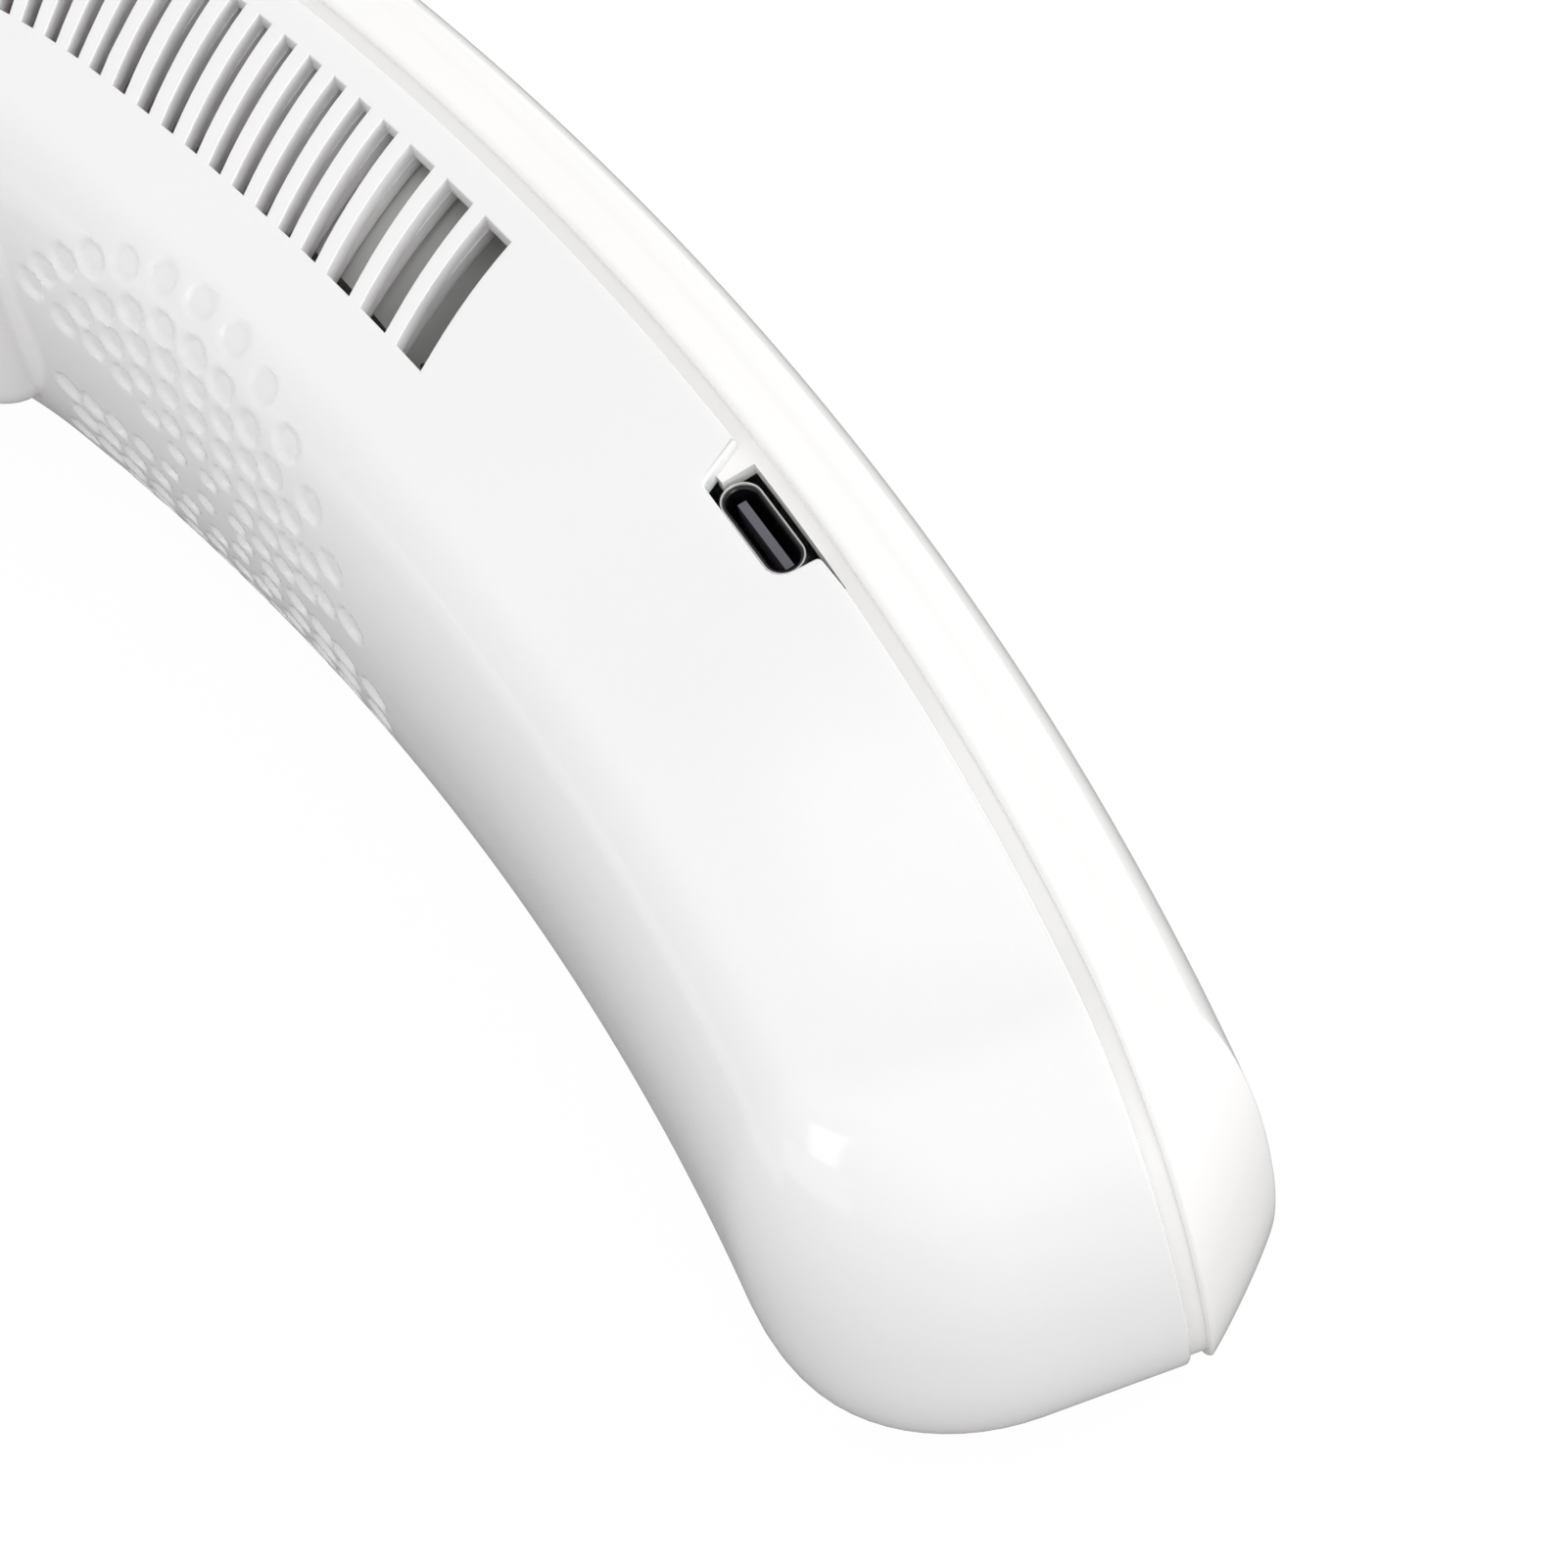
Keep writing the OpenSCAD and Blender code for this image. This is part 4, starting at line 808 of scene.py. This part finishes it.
hole_places = [(0.0, 0.0)] + [(ring * GRILLE_PITCH * math.cos(i * math.pi / 3 / ring),
                               ring * GRILLE_PITCH * math.sin(i * math.pi / 3 / ring))
                              for ring in range(1, GRILLE_RINGS + 1) for i in range(6 * ring)]
grille_parts = [flat_face(circle(GRILLE_RADIUS - inset, GRILLE_SIDES),
                          [circle(GRILLE_HOLE + grow, HOLE_SIDES, *h) for h in hole_places], z)
                for inset, grow, z in ((EDGE_ROUND, HOLE_ROUND, GRILLE_FACE),
                                       (WALL, 0.0, GRILLE_FACE - GRILLE_THICK))]
grille_rim = [(GRILLE_RADIUS - back, GRILLE_FACE - drop) for back, drop in edge_arc(EDGE_ROUND)]
grille_rim += [(GRILLE_RADIUS, GRILLE_BACK), (GRILLE_RADIUS - WALL, GRILLE_BACK),
               (GRILLE_RADIUS - WALL, GRILLE_FACE - GRILLE_THICK)]
grille_parts.append(closed_rows([at_height(circle(r, GRILLE_SIDES), z) for r, z in grille_rim]))
hole_wall = [(GRILLE_HOLE + back, GRILLE_FACE - drop) for back, drop in edge_arc(HOLE_ROUND)]
hole_wall.append((GRILLE_HOLE, GRILLE_FACE - GRILLE_THICK))
grille_parts += [closed_rows([at_height(circle(r, HOLE_SIDES, *spot), z) for r, z in hole_wall])
                 for spot in hole_places]
for side in ("right", "left"):
    grille = make_piece(side + "_grille_plate", facing_out(grille_parts, FAN_STATION, 0.0, MIDDLE),
                        cover_abs, "housing", side == "left", fill=False)
    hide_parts(side + "_intake_grille")


# Skin pads
# Soft silicone pads, moulded with a crowned face and pressed into the bezels on the neck side.
# Silicone is matt and takes a faint bloom of dust.
PAD_FROM, PAD_TO, PAD_HALF, PAD_BACK, PAD_EDGE, PAD_CROWN = 136.85, 169.65, 7.35, -29.4, -31.0, 0.4
PAD_POWER, PAD_SIDES, PAD_RIM, PAD_RISE, PAD_DOME = 5, 96, 0.97, 0.26, 2.4
BLOOM_MM, GRAIN_MM, GRAIN_DEPTH_MM, SOFT_DEPTH_MM = 6, 0.25, 0.02, 0.9

silicone = blank_material("pale_grey_silicone_moulded")
spot = add(silicone, "TexCoord").outputs["Object"]
bloom = add(silicone, "TexNoise", [("Vector", spot)], Scale=1 / (BLOOM_MM * TO_METRES),
            Detail=4.0)
shade = add(silicone, "ValToRGB", [("Fac", bloom.outputs["Fac"])])
for element, code in zip(shade.color_ramp.elements, ("#CFCFD0", "#DADADA")):
    element.color = linear(code)
grain = add(silicone, "TexNoise", [("Vector", spot)], Scale=1 / (GRAIN_MM * TO_METRES), Detail=2.0)
grain_bump = add(silicone, "Bump", [("Height", grain.outputs["Fac"])], Strength=0.6,
                 Distance=GRAIN_DEPTH_MM * TO_METRES)
rubber = add(silicone, "BsdfPrincipled", [("Base Color", shade.outputs["Color"]),
                                          ("Normal", grain_bump.outputs["Normal"])],
             Roughness=0.62, IOR=1.41, Subsurface_Weight=0.2)
rubber.inputs["Subsurface Scale"].default_value = SOFT_DEPTH_MM * TO_METRES
add(silicone, "OutputMaterial", [("Surface", rubber.outputs[0])])


def pad_parts():
    """Rings of a rounded rectangle, from its back edge over the crown to the middle."""
    turn = np.linspace(0, 2 * math.pi, PAD_SIDES, endpoint=False)
    u, v = (np.sign(w) * np.abs(w) ** (2 / PAD_POWER) for w in (np.cos(turn), np.sin(turn)))
    loops = []
    rings = [(0.0, PAD_BACK), (1.0, PAD_BACK), (1.0, PAD_EDGE), (0.992, PAD_EDGE - 0.14),
             (PAD_RIM, PAD_EDGE - PAD_RISE)]
    rings += [(r, PAD_EDGE - PAD_RISE - (PAD_CROWN - PAD_RISE) * (1 - (r / PAD_RIM) ** PAD_DOME))
              for r in np.linspace(0.93, 0.0, 12)]
    for grow, offset in rings:
        station = (PAD_FROM + PAD_TO) / 2 + grow * u * (PAD_TO - PAD_FROM) / 2
        loops.append(at_height(place(station, offset), MIDDLE + grow * v * PAD_HALF))
    return [closed_rows(loops)]


for side in ("right", "left"):
    pad = make_piece(side + "_silicone_pad", pad_parts(), silicone, "housing", side == "left",
                     fill=False, smooth_angle=50)
    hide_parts(side + "_skin_pad")


# Charging receptacle
# A standard USB-C receptacle: a drawn and nickel-plated steel shell with a rolled mouth, a black
# moulding inside it, and a tongue with gold-plated contacts. It is soldered to the main board.
PORT_OFFSET, PORT_ALONG, PORT_WIDTH, PORT_THICK = -2.05, -1.7, 8.94, 3.26
PORT_MOUTH, PORT_LENGTH, PORT_WALL, PORT_FLOOR = 39.7, 7.35, 0.3, 0.8
TONGUE_TOP, CONTACT_PITCH, CONTACTS = 39.15, 0.5, 12
CONTACT_FACE, CONTACT_ROOT, CONTACT_HALF, CONTACT_DEPTHS = 0.36, 0.3, 0.12, (5.2, 1.9)
POLISH_SPREAD, STREAK_DEPTH_MM = 0.3, 0.004


def rubbed_metal(name, bright, dull, roughness, stretch_mm):
    """Bare metal with fine streaks along the tool's path and uneven polish."""
    material = blank_material(name)
    spot = add(material, "TexCoord").outputs["Object"]
    laid = add(material, "Mapping", [("Vector", spot)],
               Scale=[1 / (s * TO_METRES) for s in stretch_mm])
    streaks = add(material, "TexNoise", [("Vector", laid.outputs[0])], Scale=1.0, Detail=3.0)
    tone = add(material, "ValToRGB", [("Fac", streaks.outputs["Fac"])])
    tone.color_ramp.elements[0].color, tone.color_ramp.elements[1].color = linear(dull), linear(bright)
    polish = add(material, "MapRange", [("Value", streaks.outputs["Fac"])])
    polish.inputs["To Min"].default_value = roughness * (1 - POLISH_SPREAD)
    polish.inputs["To Max"].default_value = roughness * (1 + POLISH_SPREAD)
    bump = add(material, "Bump", [("Height", streaks.outputs["Fac"])], Strength=0.3,
               Distance=STREAK_DEPTH_MM * TO_METRES)
    skin = add(material, "BsdfPrincipled", [("Base Color", tone.outputs["Color"]),
                                            ("Roughness", polish.outputs["Result"]),
                                            ("Normal", bump.outputs["Normal"])], Metallic=1.0)
    add(material, "OutputMaterial", [("Surface", skin.outputs[0])])
    return material


plated_steel = rubbed_metal("nickel_plated_steel_drawn", "#F6F5F3", "#E6E4E1", 0.38, (2.0, 2.0, 0.15))
black_lcp = moulded_plastic("black_polymer_moulded", "#16161A", "#0D0D10", 0.22, 1.6, 0.5, 0.004)
tongue_lcp = moulded_plastic("grey_polymer_tongue", "#6E6C75", "#5E5C66", 0.4, 1.55, 0.3, 0.01)
gold_plate = rubbed_metal("gold_plated_contact", "#E8C37A", "#C79A4C", 0.25, (0.2, 0.2, 1.0))


def stadium(grow):
    """Outline of the receptacle grown by an amount, long way along the arm."""
    radius, half = PORT_THICK / 2 + grow, (PORT_WIDTH - PORT_THICK) / 2
    turn = np.linspace(-math.pi, 0, 17)
    low = np.stack([radius * np.cos(turn), -half + radius * np.sin(turn)], 1)
    return np.concatenate([low, -low])


def on_board(parts):
    """Carries parts from the receptacle's own axis to its place on the board."""
    out, forward = station_axes(BOARD_STATION)
    origin = place(BOARD_STATION, 0.0) + out * PORT_OFFSET + forward * PORT_ALONG
    return [(np.concatenate([origin + p[:, 0:1] * out + p[:, 1:2] * forward, p[:, 2:3]], 1), f)
            for p, f in parts]


def layered(rows):
    return closed_rows([at_height(stadium(grow), z) for grow, z in rows])


def dress(material, *nodes):
    """Gives whole CAD nodes a finish."""
    for name in nodes:
        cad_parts[name].data.materials.clear()
        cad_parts[name].data.materials.append(material)


bottom = PORT_MOUTH - PORT_LENGTH
mouth_roll = [(0.0, bottom), (0.0, PORT_MOUTH - 0.08), (-0.02, PORT_MOUTH - 0.02), (-0.07, PORT_MOUTH),
              (-0.13, PORT_MOUTH - 0.01), (-0.17, PORT_MOUTH - 0.06), (-0.19, PORT_MOUTH - 0.14),
              (-PORT_WALL, PORT_MOUTH - 0.3), (-PORT_WALL, bottom + PORT_FLOOR)]
shell_parts = [layered(mouth_roll)] + [lid(at_height(stadium(grow), z))
                                       for grow, z in (mouth_roll[0], mouth_roll[-1])]
shell = make_piece("usb_c_rolled_shell", on_board(shell_parts), plated_steel, "housing", fill=False)
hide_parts("usb_c_shell")

liner_rows = [(-0.31, bottom + 1.0), (-0.31, PORT_MOUTH - 0.3), (-0.2, PORT_MOUTH - 0.14),
              (-0.24, PORT_MOUTH - 0.12), (-0.34, PORT_MOUTH - 0.16), (-0.44, PORT_MOUTH - 0.3),
              (-0.48, bottom + 1.2)]
liner_parts = [layered(liner_rows), lid(at_height(stadium(liner_rows[-1][0]), liner_rows[-1][1]))]
liner = make_piece("usb_c_black_moulding", on_board(liner_parts), black_lcp, "housing", fill=False)

contact_parts = []
for face in (-1, 1):
    for k in range(CONTACTS):
        along = (k - (CONTACTS - 1) / 2) * CONTACT_PITCH
        near, far = along - CONTACT_HALF, along + CONTACT_HALF
        x, root = face * CONTACT_FACE, face * CONTACT_ROOT
        corners = np.array([(x, near), (x, far), (root, far), (root, near)])
        loops = [at_height(corners, TONGUE_TOP - depth) for depth in CONTACT_DEPTHS]
        contact_parts += [closed_rows(loops)] + [lid(loop) for loop in loops]
contacts = make_piece("usb_c_contacts", on_board(contact_parts), gold_plate, "housing", fill=False)
dress(tongue_lcp, "usb_c_tongue")


# Power button
# A glossy round cap that stands 0.4 to 0.8 mm out of the curved cover, moulded in its plastic,
# with a shallow thumb dish, a flange that keeps it in, and a stem that meets the switch.
BUTTON_PROFILE = [(0.0, 9.72), (1.4, 9.74), (2.4, 9.82), (3.0, 9.93), (3.4, 9.99), (3.8, 10.0),
                  (4.05, 9.93), (4.17, 9.8), (4.2, 9.6), (4.2, 6.9), (5.2, 6.9), (5.2, 5.9),
                  (1.4, 5.9), (1.4, 1.0), (0.0, 1.0)]
button_parts = facing_out([closed_rows([at_height(circle(r, 72), x) for r, x in BUTTON_PROFILE])],
                          BOARD_STATION, BUTTON_ALONG, BUTTON_HEIGHT)
button = make_piece("power_button_cap", button_parts, cover_abs, "power_button", fill=False)
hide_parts("power_button")


# Charge lamps
# Four frosted polycarbonate lenses on one light guide, pushed through the cover from behind.
frosted_lens = moulded_plastic("frosted_polycarbonate", "#EEF2F5", "#E6ECF0", 0.3, 1.585, 0.4,
                               0.006, 0.5)
dress(frosted_lens, "battery_leds")


# Fan scrolls and motor plates
# Each fan sits in a scroll moulded in mid-grey ABS and stands on a plate of the same plastic,
# held to the body shell by four screws through its ears.
duct_abs = moulded_plastic("mid_grey_abs_moulded", "#BFC1BD", "#B2B4B1", 0.34, 1.53, 1.2, 0.006)
dress(duct_abs, "right_fan_scroll", "left_fan_scroll", "right_motor_plate", "left_motor_plate")


# Impellers
# Squirrel-cage wheels of 23 curved blades, moulded in pale glass-filled polyamide.
pale_nylon = moulded_plastic("pale_glass_filled_polyamide", "#D9D9D6", "#CDCDCA", 0.42, 1.53, 0.5,
                             0.012, 0.15)
dress(pale_nylon, "right_impeller", "left_impeller")


# Motors
# The rotor can is drawn steel, the shaft is ground, the bearing is sintered bronze. Inside, a
# stack of 0.35 mm electrical steel carries six windings of enamelled copper.
drawn_steel = rubbed_metal("drawn_steel_can", "#B9BABD", "#9C9DA1", 0.32, (1.5, 0.2, 0.2))
ground_steel = rubbed_metal("ground_steel_shaft", "#CFD0D2", "#B8B9BC", 0.15, (0.05, 1.5, 1.5))
sintered_bronze = rubbed_metal("sintered_bronze", "#B98F4E", "#94703A", 0.45, (0.12, 0.12, 0.12))
stacked_steel = rubbed_metal("stacked_electrical_steel", "#8A8C90", "#5F6166", 0.4, (0.35, 6.0, 6.0))
enamelled_copper = rubbed_metal("enamelled_copper_winding", "#C9743A", "#8E4A20", 0.28, (0.2, 3.0, 0.2))
dress(drawn_steel, "right_rotor_can", "left_rotor_can")
dress(ground_steel, "right_shaft", "left_shaft")
dress(sintered_bronze, "right_bearing", "left_bearing")
dress(stacked_steel, "right_stator", "left_stator")
dress(enamelled_copper, "right_windings", "left_windings")


# Screws
# Zinc-plated self-tapping screws hold the fans and the main board.
zinc_plate = rubbed_metal("zinc_plated_steel", "#D0D2D6", "#A9ACB2", 0.3, (0.4, 0.4, 0.4))
dress(zinc_plate, "right_fan_screws", "left_fan_screws", "board_screws")


# Batteries
# Flat lithium cells in blue heat-shrink film, which rounds the corners and creases a little.
FILM_ROUND = 1.4
shrink_film = moulded_plastic("blue_heat_shrink_film", "#3E6FA8", "#345F94", 0.28, 1.54, 3.0, 0.05)
dress(shrink_film, "right_battery", "left_battery")
for name in ("right_battery", "left_battery"):
    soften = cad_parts[name].modifiers.new("rounded_corners", "BEVEL")
    soften.width, soften.segments = FILM_ROUND * TO_METRES, 4
    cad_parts[name].data.shade_smooth()


# Main board, switch and leads
# A green glass-epoxy board, a black tactile switch that the button presses, and two red silicone
# leads that join the batteries round the nape.
solder_mask = moulded_plastic("green_solder_mask", "#1F6B45", "#17573A", 0.25, 1.5, 0.8, 0.02)
switch_black = moulded_plastic("black_nylon_switch", "#222226", "#1A1A1D", 0.4, 1.53, 0.3, 0.006)
red_silicone = moulded_plastic("red_silicone_sleeve", "#B0312C", "#9C2824", 0.5, 1.41, 0.4, 0.01)
dress(solder_mask, "main_board")
dress(switch_black, "power_switch")
dress(red_silicone, "power_leads")
